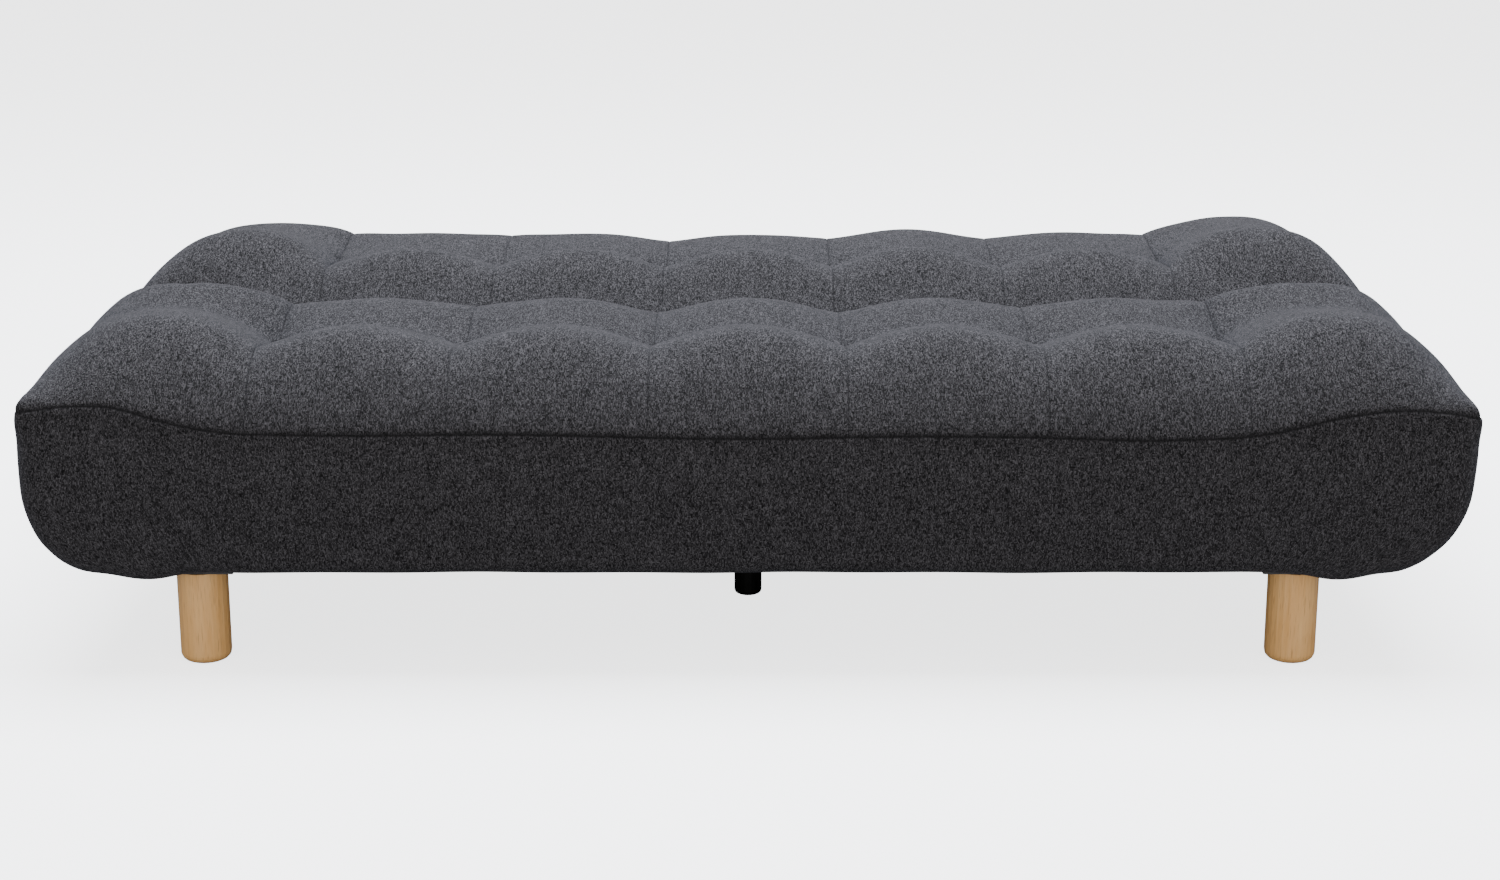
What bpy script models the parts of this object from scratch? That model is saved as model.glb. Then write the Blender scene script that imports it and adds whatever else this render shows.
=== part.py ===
"""A three-seat futon sofa bed of the clic-clac kind, lying flat as a bed.

Metres, +Z up, the floor at z = 0, the front facing -Y, the long side along X. The seat half and the
back half are hinged to a low steel base along one line, HINGE_Z above the floor at y = 0: the seat
half lifts at its front and the back half rises at its rear. Each end has a hinge set with a ratchet
on the back arm and a pawl on the seat arm.
"""

import math

import bmesh
import bpy
from mathutils import Matrix, Vector

# ---------------------------------------------------------------- driving dimensions
BODY_WIDTH = 1.82  # across the corners of the cover
BODY_DEPTH = 1.06  # front face to rear face, lying flat
TOP_Z = 0.425  # top of the pillows
SKIRT_Z = 0.128  # lower edge of the cover at the outer sides
UNDERSIDE_Z = 0.1535  # lower edge of the cover at the gap, clear of the base
GAP_HALF = 0.012  # half the gap between the two halves
HINGE_Z = 0.305  # height of the hinge line
TOUCH = 0.0003  # the gap that two touching pieces keep

LEG_X = 0.700
FRONT_RAIL_Y = -0.465
REAR_RAIL_Y = 0.155
LEG_RADIUS = 0.0325
LEG_HEIGHT = 0.122
FOOT_ROUND = 0.011  # rounding of a wooden leg's foot
CENTRE_LEG_Y = -0.200
CENTRE_LEG_RADIUS = 0.019
LEG_BOLT_RADIUS = 0.0040
LEG_BOLT_LENGTH = 0.050
LEG_BOLT_HOLE = 0.0043

TUBE = 0.025  # square tube of the base
TUBE_WALL = 0.0015
SIDE_RAIL_X = 0.800
PLATE = 0.003  # steel plate over each leg
PLATE_HALF = (0.045, 0.030)

FABRIC = 0.003  # cover cloth with its wadding
CLEAR = 0.001  # room between the cover and the timber
OUTER_CORNER = 0.030  # plan radius of the cover's corners at the outer face
GAP_CORNER = 0.004  # and at the gap
RAIL_TOP_Z = 0.200  # top of the timber rails
RAIL_BOTTOM_Z = 0.156
OUTER_RAIL_BOTTOM_Z = 0.1315  # the rail behind the outer face hangs lower
OUTER_RAIL_HALF = 0.795
OUTER_INSET = 0.027  # outer face of the body to the outer rail
TIMBER = 0.022
END_TIMBER = 0.018
TIMBER_ROUND = 0.002
STRAP_WIDTH = 0.060
STRAP_THICK = 0.002
STRAP_X = (-0.54, -0.18, 0.18, 0.54)
STRAP_SET_IN = 0.002  # from the rails' outer edges
STRETCHER_DROP = 0.006  # the stretcher stays below the straps
DUST_LAP = 0.008  # how far the dust cover laps under the end rails

TUFT_PITCH = 0.250
TUFT_COLUMNS = (-2.5, -1.5, -0.5, 0.5, 1.5, 2.5)  # in pitches from the middle
TUFT_ROW_Y = 0.268  # distance of each half's row of tufts from the hinge line
TUFT_DEPTH = 0.030
TUFT_SPREAD = 0.042
SEAM_DROP = 0.014  # how far the cover sinks along the seams between the pillows
TOP_COLUMNS = 48
TOP_ROWS = 8

PIVOT_RADIUS = 0.0050
PIVOT_HOLE = 0.0053
POST_X = (0.785, 0.815)
POST_HALF_Y = 0.010
POST_WALL = 0.002
POST_RISE = 0.014  # top of the post above the hinge line
SEAT_ARM_X = (0.8155, 0.8185)
RATCHET_X = (0.8190, 0.8240)
BACK_ARM_X = (0.8245, 0.8275)
BOLT_HEAD_X = (0.8280, 0.8345)
BOLT_END_X = 0.773
NUT_X = (0.7765, POST_X[0] - TOUCH)
BOLT_HEAD_RADIUS = 0.0085
NUT_RADIUS = 0.0095
ARM_EYE = 0.015
ARM_TOE_Y = 0.190
NOTCH_STEP = 15  # degrees between the ratchet's notches
NOTCHES = 8
RATCHET_TIP = 0.022
RATCHET_ROOT = 0.018
PAWL_PIVOT = Vector((-0.0185, HINGE_Z - 0.030))  # y, z
POCKET_X = (0.773, 0.8415)  # room in the foam and the cover for each hinge set
FOAM_NOTCH_Y = 0.062  # how far from the hinge line the room in the foam reaches
SLIT_Y = 0.036  # and the slit in the cover
SLIT_BOTTOM_Z = HINGE_Z - 0.060
PAWL_EYE = 0.0060
PAWL_PARKED = 9  # degrees that the parked pawl stands off the ratchet
PIN_RADIUS = 0.0025
PIN_HOLE = 0.0028
PIN_END_X = 0.832
WIRE = 0.0005
COIL_RADIUS = 0.0037
COIL_PITCH = 0.0013
COIL_TURNS = 3

SIDES = {"left": -1, "right": 1}
HALVES = {"seat": -1, "back": 1}
ROUND = 24  # sides of a round piece
HEX = 6
REACH = 0.010  # how far a cutter runs past what it cuts


# ---------------------------------------------------------------- materials
def make_material(name, colour, roughness, metallic=0.0):
    """A Principled BSDF of one colour."""
    material = bpy.data.materials.new(name)
    material.use_nodes = True
    shader = material.node_tree.nodes["Principled BSDF"]
    shader.inputs["Base Color"].default_value = (*colour, 1.0)
    shader.inputs["Roughness"].default_value = roughness
    shader.inputs["Metallic"].default_value = metallic
    return material


def make_materials():
    """The finishes of the sofa bed by name."""
    return {
        "charcoal_fabric": make_material("charcoal_fabric", (0.060, 0.060, 0.068), 0.95),
        "dust_cloth": make_material("dust_cloth", (0.015, 0.015, 0.016), 0.95),
        "foam": make_material("foam", (0.80, 0.74, 0.55), 0.90),
        "beech": make_material("beech", (0.52, 0.33, 0.17), 0.50),
        "timber": make_material("timber", (0.60, 0.45, 0.27), 0.70),
        "webbing": make_material("webbing", (0.10, 0.09, 0.08), 0.85),
        "black_steel": make_material("black_steel", (0.010, 0.010, 0.011), 0.45, 0.6),
        "zinc_steel": make_material("zinc_steel", (0.55, 0.55, 0.53), 0.35, 1.0),
        "black_plastic": make_material("black_plastic", (0.008, 0.008, 0.008), 0.50),
    }


# ---------------------------------------------------------------- shapes
def finish(name, shape, material, location=(0.0, 0.0, 0.0), smooth_angle=None):
    """Turns a bmesh into an object, its faces pointing out and its round faces smooth."""
    bmesh.ops.recalc_face_normals(shape, faces=shape.faces)
    mesh = bpy.data.meshes.new(name)
    shape.to_mesh(mesh)
    shape.free()
    if smooth_angle is not None:
        mesh.shade_smooth()
        mesh.set_sharp_from_angle(angle=math.radians(smooth_angle))
    if material is not None:
        mesh.materials.append(material)
    piece = bpy.data.objects.new(name, mesh)
    piece.location = location
    bpy.context.scene.collection.objects.link(piece)
    return piece


def box(name, low, high, material):
    """A plain block between two corners, with its origin at its centre."""
    low, high = Vector(low), Vector(high)
    shape = bmesh.new()
    bmesh.ops.create_cube(shape, size=1.0)
    bmesh.ops.scale(shape, vec=high - low, verts=shape.verts)
    return finish(name, shape, material, (low + high) / 2)


def soften(piece, width, segments=2):
    """Rounds a piece's sharp edges."""
    bevel = piece.modifiers.new("rounded_edges", "BEVEL")
    bevel.width = width
    bevel.segments = segments
    bevel.limit_method = "ANGLE"
    return piece


def combine(piece, other, operation):
    """Cuts the other shape out of the piece, or joins it on, and hides the other shape."""
    modifier = piece.modifiers.new(other.name, "BOOLEAN")
    modifier.operation = operation
    modifier.object = other
    other.hide_render = True
    other.display_type = "WIRE"


def cut(piece, cutter):
    """Takes the cutter's shape out of the piece."""
    combine(piece, cutter, "DIFFERENCE")


def square_tube(name, half_lengths, along, material, location):
    """A square tube along X or Y, whose ends are cut straight or as a mitre.

    half_lengths are the tube's half lengths along its two sides: first the side at -Y, or at +X
    for a tube along Y, then the other. They are equal for straight ends.
    """
    shape = bmesh.new()
    rings = []
    for end in (-1, 1):
        for half in (TUBE / 2, TUBE / 2 - TUBE_WALL):
            ring = []
            for across, up in ((-1, -1), (1, -1), (1, 1), (-1, 1)):
                share = (across * half / (TUBE / 2) + 1) / 2
                reach = half_lengths[0] + (half_lengths[1] - half_lengths[0]) * share
                place = (end * reach, across * half, up * half)
                if along == "Y":
                    place = (-place[1], place[0], place[2])
                ring.append(shape.verts.new(place))
            rings.append(ring)
    outer_a, inner_a, outer_b, inner_b = rings
    for i in range(4):
        j = (i + 1) % 4
        shape.faces.new((outer_a[i], outer_a[j], outer_b[j], outer_b[i]))
        shape.faces.new((inner_a[j], inner_a[i], inner_b[i], inner_b[j]))
        shape.faces.new((outer_a[j], outer_a[i], inner_a[i], inner_a[j]))
        shape.faces.new((outer_b[i], outer_b[j], inner_b[j], inner_b[i]))
    return finish(name, shape, material, location)


def turned(name, profile, material, location, segments=ROUND, smooth_angle=40):
    """A turned piece about Z from (radius, height) points, from the bottom centre to the top centre."""
    shape = bmesh.new()
    rings = []
    for radius, height in profile:
        if radius == 0:
            rings.append([shape.verts.new((0, 0, height))])
            continue
        ring = []
        for k in range(segments):
            a = 2 * math.pi * k / segments
            ring.append(shape.verts.new((radius * math.cos(a), radius * math.sin(a), height)))
        rings.append(ring)
    for lower, upper in zip(rings, rings[1:]):
        for k in range(segments):
            n = (k + 1) % segments
            if len(lower) == 1:
                shape.faces.new((lower[0], upper[n], upper[k]))
            elif len(upper) == 1:
                shape.faces.new((lower[k], lower[n], upper[0]))
            else:
                shape.faces.new((lower[k], lower[n], upper[n], upper[k]))
    return finish(name, shape, material, location, smooth_angle)


def arc(centre, radius, start, end, steps):
    """Points on an arc, angles in degrees, both ends included."""
    points = []
    for k in range(steps + 1):
        a = math.radians(start + (end - start) * k / steps)
        points.append(Vector((centre[0] + radius * math.cos(a), centre[1] + radius * math.sin(a))))
    return points


def rod(name, centre, radius, x_range, material, segments=ROUND):
    """A round bar along X, centred on (y, z)."""
    x0, x1 = sorted(x_range)
    shape = bmesh.new()
    bmesh.ops.create_cone(
        shape, cap_ends=True, segments=segments, radius1=radius, radius2=radius, depth=x1 - x0
    )
    bmesh.ops.rotate(shape, verts=shape.verts, matrix=Matrix.Rotation(math.pi / 2, 3, "Y"))
    return finish(name, shape, material, ((x0 + x1) / 2, centre[0], centre[1]), 40)


def drill(piece, centre, radius, x_range):
    """Bores a round hole along X through a piece."""
    x0, x1 = sorted(x_range)
    number = len(piece.modifiers)
    cutter = rod(f"{piece.name}_drill_{number}", centre, radius, (x0 - REACH, x1 + REACH), None)
    cut(piece, cutter)


def plate(name, outline, x_range, material, holes, origin):
    """A flat plate in the YZ plane between two x values, with round holes bored through it.

    outline is a list of (y, z) points, holes a list of ((y, z), radius), and origin the (y, z) of
    the piece's own origin.
    """
    x0, x1 = sorted(x_range)
    origin = Vector(origin)
    shape = bmesh.new()
    face = shape.faces.new([shape.verts.new((0, *(point - origin))) for point in outline])
    made = bmesh.ops.extrude_face_region(shape, geom=[face])
    moved = [v for v in made["geom"] if isinstance(v, bmesh.types.BMVert)]
    bmesh.ops.translate(shape, verts=moved, vec=(x1 - x0, 0, 0))
    piece = finish(name, shape, material, (x0, *origin))
    for centre, radius in holes:
        drill(piece, centre, radius, (x0, x1))
    return piece


# ---------------------------------------------------------------- base
def base_heights():
    """The heights of the base's middle and top."""
    bottom = LEG_HEIGHT + PLATE + 2 * TOUCH
    return bottom + TUBE / 2, bottom + TUBE


def build_base(finishes):
    """The welded base: a mitred rectangle of square tube with a centre rail."""
    steel = finishes["black_steel"]
    z = base_heights()[0]
    half_width = SIDE_RAIL_X + TUBE / 2
    middle_y = (FRONT_RAIL_Y + REAR_RAIL_Y) / 2
    half_depth = (REAR_RAIL_Y - FRONT_RAIL_Y) / 2 + TUBE / 2
    wide, narrow = half_width - TOUCH, half_width - TUBE - TOUCH
    square_tube("base_front_rail", (wide, narrow), "X", steel, (0, FRONT_RAIL_Y, z))
    square_tube("base_rear_rail", (narrow, wide), "X", steel, (0, REAR_RAIL_Y, z))
    deep, shallow = half_depth - TOUCH, half_depth - TUBE - TOUCH
    square_tube("base_left_rail", (shallow, deep), "Y", steel, (-SIDE_RAIL_X, middle_y, z))
    square_tube("base_right_rail", (deep, shallow), "Y", steel, (SIDE_RAIL_X, middle_y, z))
    square_tube("base_centre_rail", (shallow, shallow), "Y", steel, (0, middle_y, z))


def foot_profile(radius, rounding, steps):
    """The (radius, height) points of a flat sole with a rounded edge."""
    centre = (radius - rounding, rounding)
    points = arc(centre, rounding, -75, 0, steps)
    return [(0, 0), (radius - rounding, 0)] + [(p.x, p.y) for p in points]


def build_leg(finishes, end, side, x, y):
    """A wooden leg, the bolt in its top and the steel plate that the bolt screws into."""
    plate_z = LEG_HEIGHT + TOUCH
    bolt_top = plate_z + PLATE
    bolt_bottom = bolt_top - LEG_BOLT_LENGTH
    profile = foot_profile(LEG_RADIUS, FOOT_ROUND, 4)
    profile += [
        (LEG_RADIUS, LEG_HEIGHT),
        (LEG_BOLT_HOLE, LEG_HEIGHT),
        (LEG_BOLT_HOLE, bolt_bottom - TOUCH),
        (0, bolt_bottom - TOUCH),
    ]
    turned(f"{end}_{side}_leg", profile, finishes["beech"], (x, y, 0))
    length = LEG_BOLT_LENGTH
    turned(
        f"{end}_{side}_leg_bolt",
        [(0, 0), (LEG_BOLT_RADIUS, 0), (LEG_BOLT_RADIUS, length), (0, length)],
        finishes["zinc_steel"],
        (x, y, bolt_bottom),
        segments=16,
    )
    foot = box(
        f"{end}_{side}_leg_plate",
        (x - PLATE_HALF[0], y - PLATE_HALF[1], plate_z),
        (x + PLATE_HALF[0], y + PLATE_HALF[1], bolt_top),
        finishes["black_steel"],
    )
    thread = [(0, 0), (LEG_BOLT_HOLE, 0), (LEG_BOLT_HOLE, 2 * REACH), (0, 2 * REACH)]
    cut(foot, turned(f"{end}_{side}_leg_plate_thread", thread, None, (x, y, plate_z - REACH)))


def build_legs(finishes):
    """Four wooden legs with their fixings, and the plastic leg under the centre rail."""
    for end, y in (("front", FRONT_RAIL_Y), ("rear", REAR_RAIL_Y)):
        for side, sign in SIDES.items():
            build_leg(finishes, end, side, sign * LEG_X, y)
    top = LEG_HEIGHT + PLATE + TOUCH
    profile = foot_profile(CENTRE_LEG_RADIUS, 0.006, 3) + [(CENTRE_LEG_RADIUS, top), (0, top)]
    turned("centre_leg", profile, finishes["black_plastic"], (0, CENTRE_LEG_Y, 0))


# ---------------------------------------------------------------- hinge sets
def ratchet_outline():
    """The ratchet's outline: notches NOTCH_STEP apart from the one that faces the pawl."""
    hinge = Vector((0, HINGE_Z))
    points = []
    lands = ((6.0, RATCHET_TIP), (4.5, RATCHET_ROOT), (-4.5, RATCHET_ROOT), (-6.0, RATCHET_TIP))
    for k in range(NOTCHES):
        centre = 180 - NOTCH_STEP * k
        for offset, radius in lands:
            points += arc(hinge, radius, centre + offset, centre + offset, 1)[:1]
    last = 180 - NOTCH_STEP * NOTCHES
    return points + arc(hinge, RATCHET_TIP, last, -165, 14)


def pawl_outline():
    """The pawl: an eye round its pin, a straight shank and a tooth that points at the ratchet.

    It is drawn with its tooth in a notch and then turned away by PAWL_PARKED degrees.
    """
    tooth_y = -(RATCHET_ROOT + 0.0006)
    root_y = tooth_y - 0.0040
    pivot = PAWL_PIVOT
    engaged = arc(pivot, PAWL_EYE, 180, 360, 8)
    engaged += [
        Vector((pivot.x + 0.0045, HINGE_Z - 0.0235)),
        Vector((root_y - 0.0010, HINGE_Z - 0.0080)),
        Vector((root_y, HINGE_Z - 0.0017)),
        Vector((tooth_y, HINGE_Z - 0.0008)),
        Vector((tooth_y, HINGE_Z + 0.0008)),
        Vector((root_y, HINGE_Z + 0.0017)),
        Vector((pivot.x - 0.0085, HINGE_Z + 0.0010)),
    ]
    turn = Matrix.Rotation(math.radians(PAWL_PARKED), 2)
    return [pivot + turn @ (point - pivot) for point in engaged]


def arm_outline(sign):
    """An arm's outline: an eye on the hinge line, a shank down inside the cover, and a foot.

    The foot runs along the half's end rail. sign is -1 for the seat's arm, which reaches
    forwards, and 1 for the back's.
    """
    eye = arc((0, HINGE_Z), ARM_EYE, 270, 20, 12)
    inner_y, outer_y = 0.0165, 0.0460
    foot_top, foot_bottom = RAIL_TOP_Z - 0.004, RAIL_BOTTOM_Z + 0.004
    points = [
        Vector((outer_y - 0.016, HINGE_Z - 0.010)),
        Vector((outer_y, HINGE_Z - 0.040)),
        Vector((outer_y, foot_top + 0.016)),
        Vector((outer_y + 0.016, foot_top)),
        Vector((ARM_TOE_Y - 0.008, foot_top)),
        Vector((ARM_TOE_Y, foot_top - 0.008)),
        Vector((ARM_TOE_Y, foot_bottom + 0.008)),
        Vector((ARM_TOE_Y - 0.008, foot_bottom)),
        Vector((inner_y, foot_bottom)),
        Vector((inner_y, HINGE_Z - 0.040)),
    ]
    return [Vector((sign * p.x, p.y)) for p in eye + points]


def build_pivot(finishes, side, sign):
    """The post on the base with the pivot bolt through it and its nut."""
    hinge = Vector((0, HINGE_Z))
    base_top = base_heights()[1]
    x0, x1 = sorted(sign * x for x in POST_X)
    post = box(
        f"hinge_post_{side}",
        (x0, -POST_HALF_Y, base_top + TOUCH),
        (x1, POST_HALF_Y, HINGE_Z + POST_RISE),
        finishes["black_steel"],
    )
    hollow = box(
        f"hinge_post_{side}_hollow",
        (x0 + POST_WALL, -POST_HALF_Y + POST_WALL, base_top - REACH),
        (x1 - POST_WALL, POST_HALF_Y - POST_WALL, HINGE_Z + POST_RISE - POST_WALL),
        None,
    )
    cut(post, hollow)
    drill(post, hinge, PIVOT_HOLE, (x0, x1))

    zinc = finishes["zinc_steel"]
    shank_x = (sign * BOLT_END_X, sign * (BOLT_HEAD_X[0] + 0.002))
    bolt = rod(f"pivot_bolt_{side}", hinge, PIVOT_RADIUS, shank_x, zinc)
    head_x = [sign * x for x in BOLT_HEAD_X]
    head = rod(f"pivot_bolt_{side}_head", hinge, BOLT_HEAD_RADIUS, head_x, None, HEX)
    combine(bolt, head, "UNION")
    nut_x = [sign * x for x in NUT_X]
    nut = rod(f"pivot_nut_{side}", hinge, NUT_RADIUS, nut_x, zinc, HEX)
    drill(nut, hinge, PIVOT_HOLE, nut_x)


def build_arms(finishes, side, sign):
    """The two arms of one hinge set, the ratchet and the pawl with its pin and spring."""
    zinc = finishes["zinc_steel"]
    hinge = Vector((0, HINGE_Z))
    pivot_hole, pin_hole = (hinge, PIVOT_HOLE), (PAWL_PIVOT, PIN_HOLE)

    def layer(x_range):
        return [sign * x for x in x_range]

    seat_x, ratchet_x, back_x = layer(SEAT_ARM_X), layer(RATCHET_X), layer(BACK_ARM_X)
    seat_arm = plate(
        f"seat_arm_{side}", arm_outline(-1), seat_x, zinc, [pivot_hole, pin_hole], hinge
    )
    back_arm = plate(f"back_arm_{side}", arm_outline(1), back_x, zinc, [pivot_hole], hinge)
    ratchet = plate(f"ratchet_{side}", ratchet_outline(), ratchet_x, zinc, [pivot_hole], hinge)
    pawl = plate(f"pawl_{side}", pawl_outline(), ratchet_x, zinc, [pin_hole], PAWL_PIVOT)
    pin = rod(f"pawl_pin_{side}", PAWL_PIVOT, PIN_RADIUS, layer((SEAT_ARM_X[0], PIN_END_X)), zinc, 16)
    spring = build_pawl_spring(side, sign, zinc)
    return {"seat": [seat_arm, pawl, pin, spring], "back": [back_arm, ratchet]}


def build_pawl_spring(side, sign, material):
    """A torsion spring round the pawl's pin, as turns of wire."""
    per_turn = 12
    start = RATCHET_X[1] + 2 * WIRE
    curve = bpy.data.curves.new(f"pawl_spring_{side}", "CURVE")
    curve.dimensions = "3D"
    curve.bevel_depth = WIRE
    curve.bevel_resolution = 1
    curve.use_fill_caps = True
    spline = curve.splines.new("POLY")
    count = COIL_TURNS * per_turn + 1
    spline.points.add(count - 1)
    for k in range(count):
        a = 2 * math.pi * k / per_turn
        x = sign * (start + COIL_PITCH * k / per_turn)
        spline.points[k].co = (x, COIL_RADIUS * math.cos(a), COIL_RADIUS * math.sin(a), 1)
    curve.materials.append(material)
    spring = bpy.data.objects.new(f"pawl_spring_{side}", curve)
    spring.location = (0, PAWL_PIVOT.x, PAWL_PIVOT.y)
    bpy.context.scene.collection.objects.link(spring)
    return spring


# ---------------------------------------------------------------- seat half and back half
def build_frame(finishes, half, sign, end_rail_x):
    """The timber frame of one half with its straps and its dust cover.

    sign is -1 for the seat half, which lies at -Y, and 1 for the back half. end_rail_x is the inner
    face of the end rails.
    """
    wood = finishes["timber"]
    outer_face = BODY_DEPTH / 2 - OUTER_INSET
    hinge_side = GAP_HALF + FABRIC + CLEAR
    outer_rail = (outer_face - TIMBER, outer_face)
    hinge_rail = (hinge_side, hinge_side + TIMBER)
    pieces = []

    def bar(name, x_range, y_range, z_range, material):
        x0, x1 = sorted(x_range)
        y0, y1 = sorted(sign * y for y in y_range)
        piece = box(f"{half}_{name}", (x0, y0, z_range[0]), (x1, y1, z_range[1]), material)
        pieces.append(piece)
        return piece

    def rail(name, x_range, y_range, z_range):
        soften(bar(name, x_range, y_range, z_range, wood), TIMBER_ROUND, 1)

    upper = (RAIL_BOTTOM_Z, RAIL_TOP_Z)
    hinge_half = SEAT_ARM_X[0] - CLEAR
    rail_ends = (hinge_side, outer_rail[0] - TOUCH)
    rail("outer_rail", (-OUTER_RAIL_HALF, OUTER_RAIL_HALF), outer_rail, (OUTER_RAIL_BOTTOM_Z, RAIL_TOP_Z))
    rail("hinge_rail", (-hinge_half, hinge_half), hinge_rail, upper)
    for side, direction in SIDES.items():
        x_range = (direction * end_rail_x, direction * (end_rail_x + END_TIMBER))
        rail(f"{side}_rail", x_range, rail_ends, upper)
    between = (hinge_rail[1] + TOUCH, outer_rail[0] - TOUCH)
    rail("stretcher", (-TIMBER / 2, TIMBER / 2), between, (RAIL_BOTTOM_Z, RAIL_TOP_Z - STRETCHER_DROP))

    strap_y = (hinge_rail[0] + STRAP_SET_IN, outer_rail[1] - STRAP_SET_IN)
    strap_z = (RAIL_TOP_Z + TOUCH, RAIL_TOP_Z + TOUCH + STRAP_THICK)
    for number, x in enumerate(STRAP_X, 1):
        strap_x = (x - STRAP_WIDTH / 2, x + STRAP_WIDTH / 2)
        bar(f"strap_{number}", strap_x, strap_y, strap_z, finishes["webbing"])
    cloth_x = (-end_rail_x - DUST_LAP, end_rail_x + DUST_LAP)
    cloth_z = (UNDERSIDE_Z + CLEAR, RAIL_BOTTOM_Z - TOUCH)
    cloth_y = (hinge_side, outer_rail[0] - CLEAR)
    bar("dust_cover", cloth_x, cloth_y, cloth_z, finishes["dust_cloth"])
    return pieces


def cover_levels(inset):
    """The levels of a cover, from its lower edge to its top.

    Each level is (outer, gap, end, outer z, gap z): how far it stands in from the outer face, from
    the gap and from each end, and its height at the outer face and at the gap. inset moves the
    whole shape inwards, for the inner side of the cloth, and the top level only down.
    """
    levels = (
        (0.024, 0.000, 0.070, SKIRT_Z, UNDERSIDE_Z),
        (0.010, 0.000, 0.045, 0.138, 0.158),
        (0.003, 0.000, 0.024, 0.175, 0.190),
        (0.000, 0.000, 0.012, 0.240, 0.235),
        (0.000, 0.000, 0.000, 0.322, 0.285),
        (0.025, 0.010, 0.020, 0.352, 0.306),
        (0.070, 0.065, 0.060, 0.390, 0.352),
        (0.120, 0.120, 0.105, 0.413, 0.399),
        (0.180, 0.170, 0.160, TOP_Z, TOP_Z),
    )
    shoulder_z = 0.320
    made = []
    for outer, gap, end, outer_z, gap_z in levels:
        drop = inset if outer_z > shoulder_z else 0.0
        shift = inset if outer_z < TOP_Z else 0.0
        made.append((outer + shift, gap + shift, end + shift, outer_z - drop, gap_z - drop))
    return made


def level_place(level, sign, s, t):
    """Where the point (s, t) of the unit square lies on one level, corners rounded off."""
    outer, gap, end, outer_z, gap_z = level
    y_outer, y_gap = BODY_DEPTH / 2 - outer, GAP_HALF + gap
    half_x, half_y = BODY_WIDTH / 2 - end, (y_outer - y_gap) / 2
    sharp = Vector((s * half_x, t * half_y))
    corner = OUTER_CORNER if t > 0 else GAP_CORNER
    inner = Vector(
        (
            max(-half_x + corner, min(half_x - corner, sharp.x)),
            max(-half_y + corner, min(half_y - corner, sharp.y)),
        )
    )
    out = sharp - inner
    flat = inner + out.normalized() * corner if out.length > corner else sharp
    share = min((t + 1) * 2, 1.0)
    y = (y_outer + y_gap) / 2 + flat.y
    return flat.x, sign * y, gap_z + (outer_z - gap_z) * share


def pillow_drop(x, y):
    """How far the top sinks below the pillows at a point, from the seams and the tufts."""
    nearest = min(TUFT_COLUMNS, key=lambda column: abs(x - column * TUFT_PITCH)) * TUFT_PITCH
    across = abs(x - nearest)
    seam = SEAM_DROP * max(0.0, 1 - across / (TUFT_PITCH / 2)) ** 2
    distance = math.hypot(across, abs(y) - TUFT_ROW_Y)
    return seam + TUFT_DEPTH * math.exp(-((distance / TUFT_SPREAD) ** 2))


def two_triangles(shape, a, b, c, d):
    """Fills a four-sided gap, always split the same way so that nested skins stay apart."""
    shape.faces.new((a, b, c))
    shape.faces.new((a, c, d))


def skin(shape, levels, sign):
    """Adds one closed-over skin to a bmesh, and returns the points of its open lower edge.

    The levels below the top are rings; the top is a grid that the seams and tufts sink into.
    """
    columns = [2 * i / TOP_COLUMNS - 1 for i in range(TOP_COLUMNS + 1)]
    rows = [2 * j / TOP_ROWS - 1 for j in range(TOP_ROWS + 1)]
    border = [(i, 0) for i in range(TOP_COLUMNS)]
    border += [(TOP_COLUMNS, j) for j in range(TOP_ROWS)]
    border += [(i, TOP_ROWS) for i in range(TOP_COLUMNS, 0, -1)]
    border += [(0, j) for j in range(TOP_ROWS, 0, -1)]
    rings = []
    for level in levels[:-1]:
        places = [level_place(level, sign, columns[i], rows[j]) for i, j in border]
        rings.append([shape.verts.new(place) for place in places])
    grid = {}
    for i, s in enumerate(columns):
        for j, t in enumerate(rows):
            x, y, z = level_place(levels[-1], sign, s, t)
            grid[i, j] = shape.verts.new((x, y, z - pillow_drop(x, y)))
    rings.append([grid[place] for place in border])
    for lower, upper in zip(rings, rings[1:]):
        for k in range(len(lower)):
            n = (k + 1) % len(lower)
            two_triangles(shape, lower[k], lower[n], upper[n], upper[k])
    for i in range(TOP_COLUMNS):
        for j in range(TOP_ROWS):
            two_triangles(shape, grid[i, j], grid[i + 1, j], grid[i + 1, j + 1], grid[i, j + 1])
    return rings[0]


def cover_shape(sign):
    """A cloth shell of one half, open below."""
    shape = bmesh.new()
    outside = skin(shape, cover_levels(0.0), sign)
    inside = skin(shape, cover_levels(FABRIC), sign)
    for k in range(len(outside)):
        n = (k + 1) % len(outside)
        shape.faces.new((outside[n], outside[k], inside[k], inside[n]))
    return shape


def foam_shape(sign):
    """The block of foam that fills one half's cover."""
    shape = bmesh.new()
    edge = skin(shape, cover_levels(FABRIC + TOUCH), sign)
    shape.faces.new(edge)
    return shape


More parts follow.
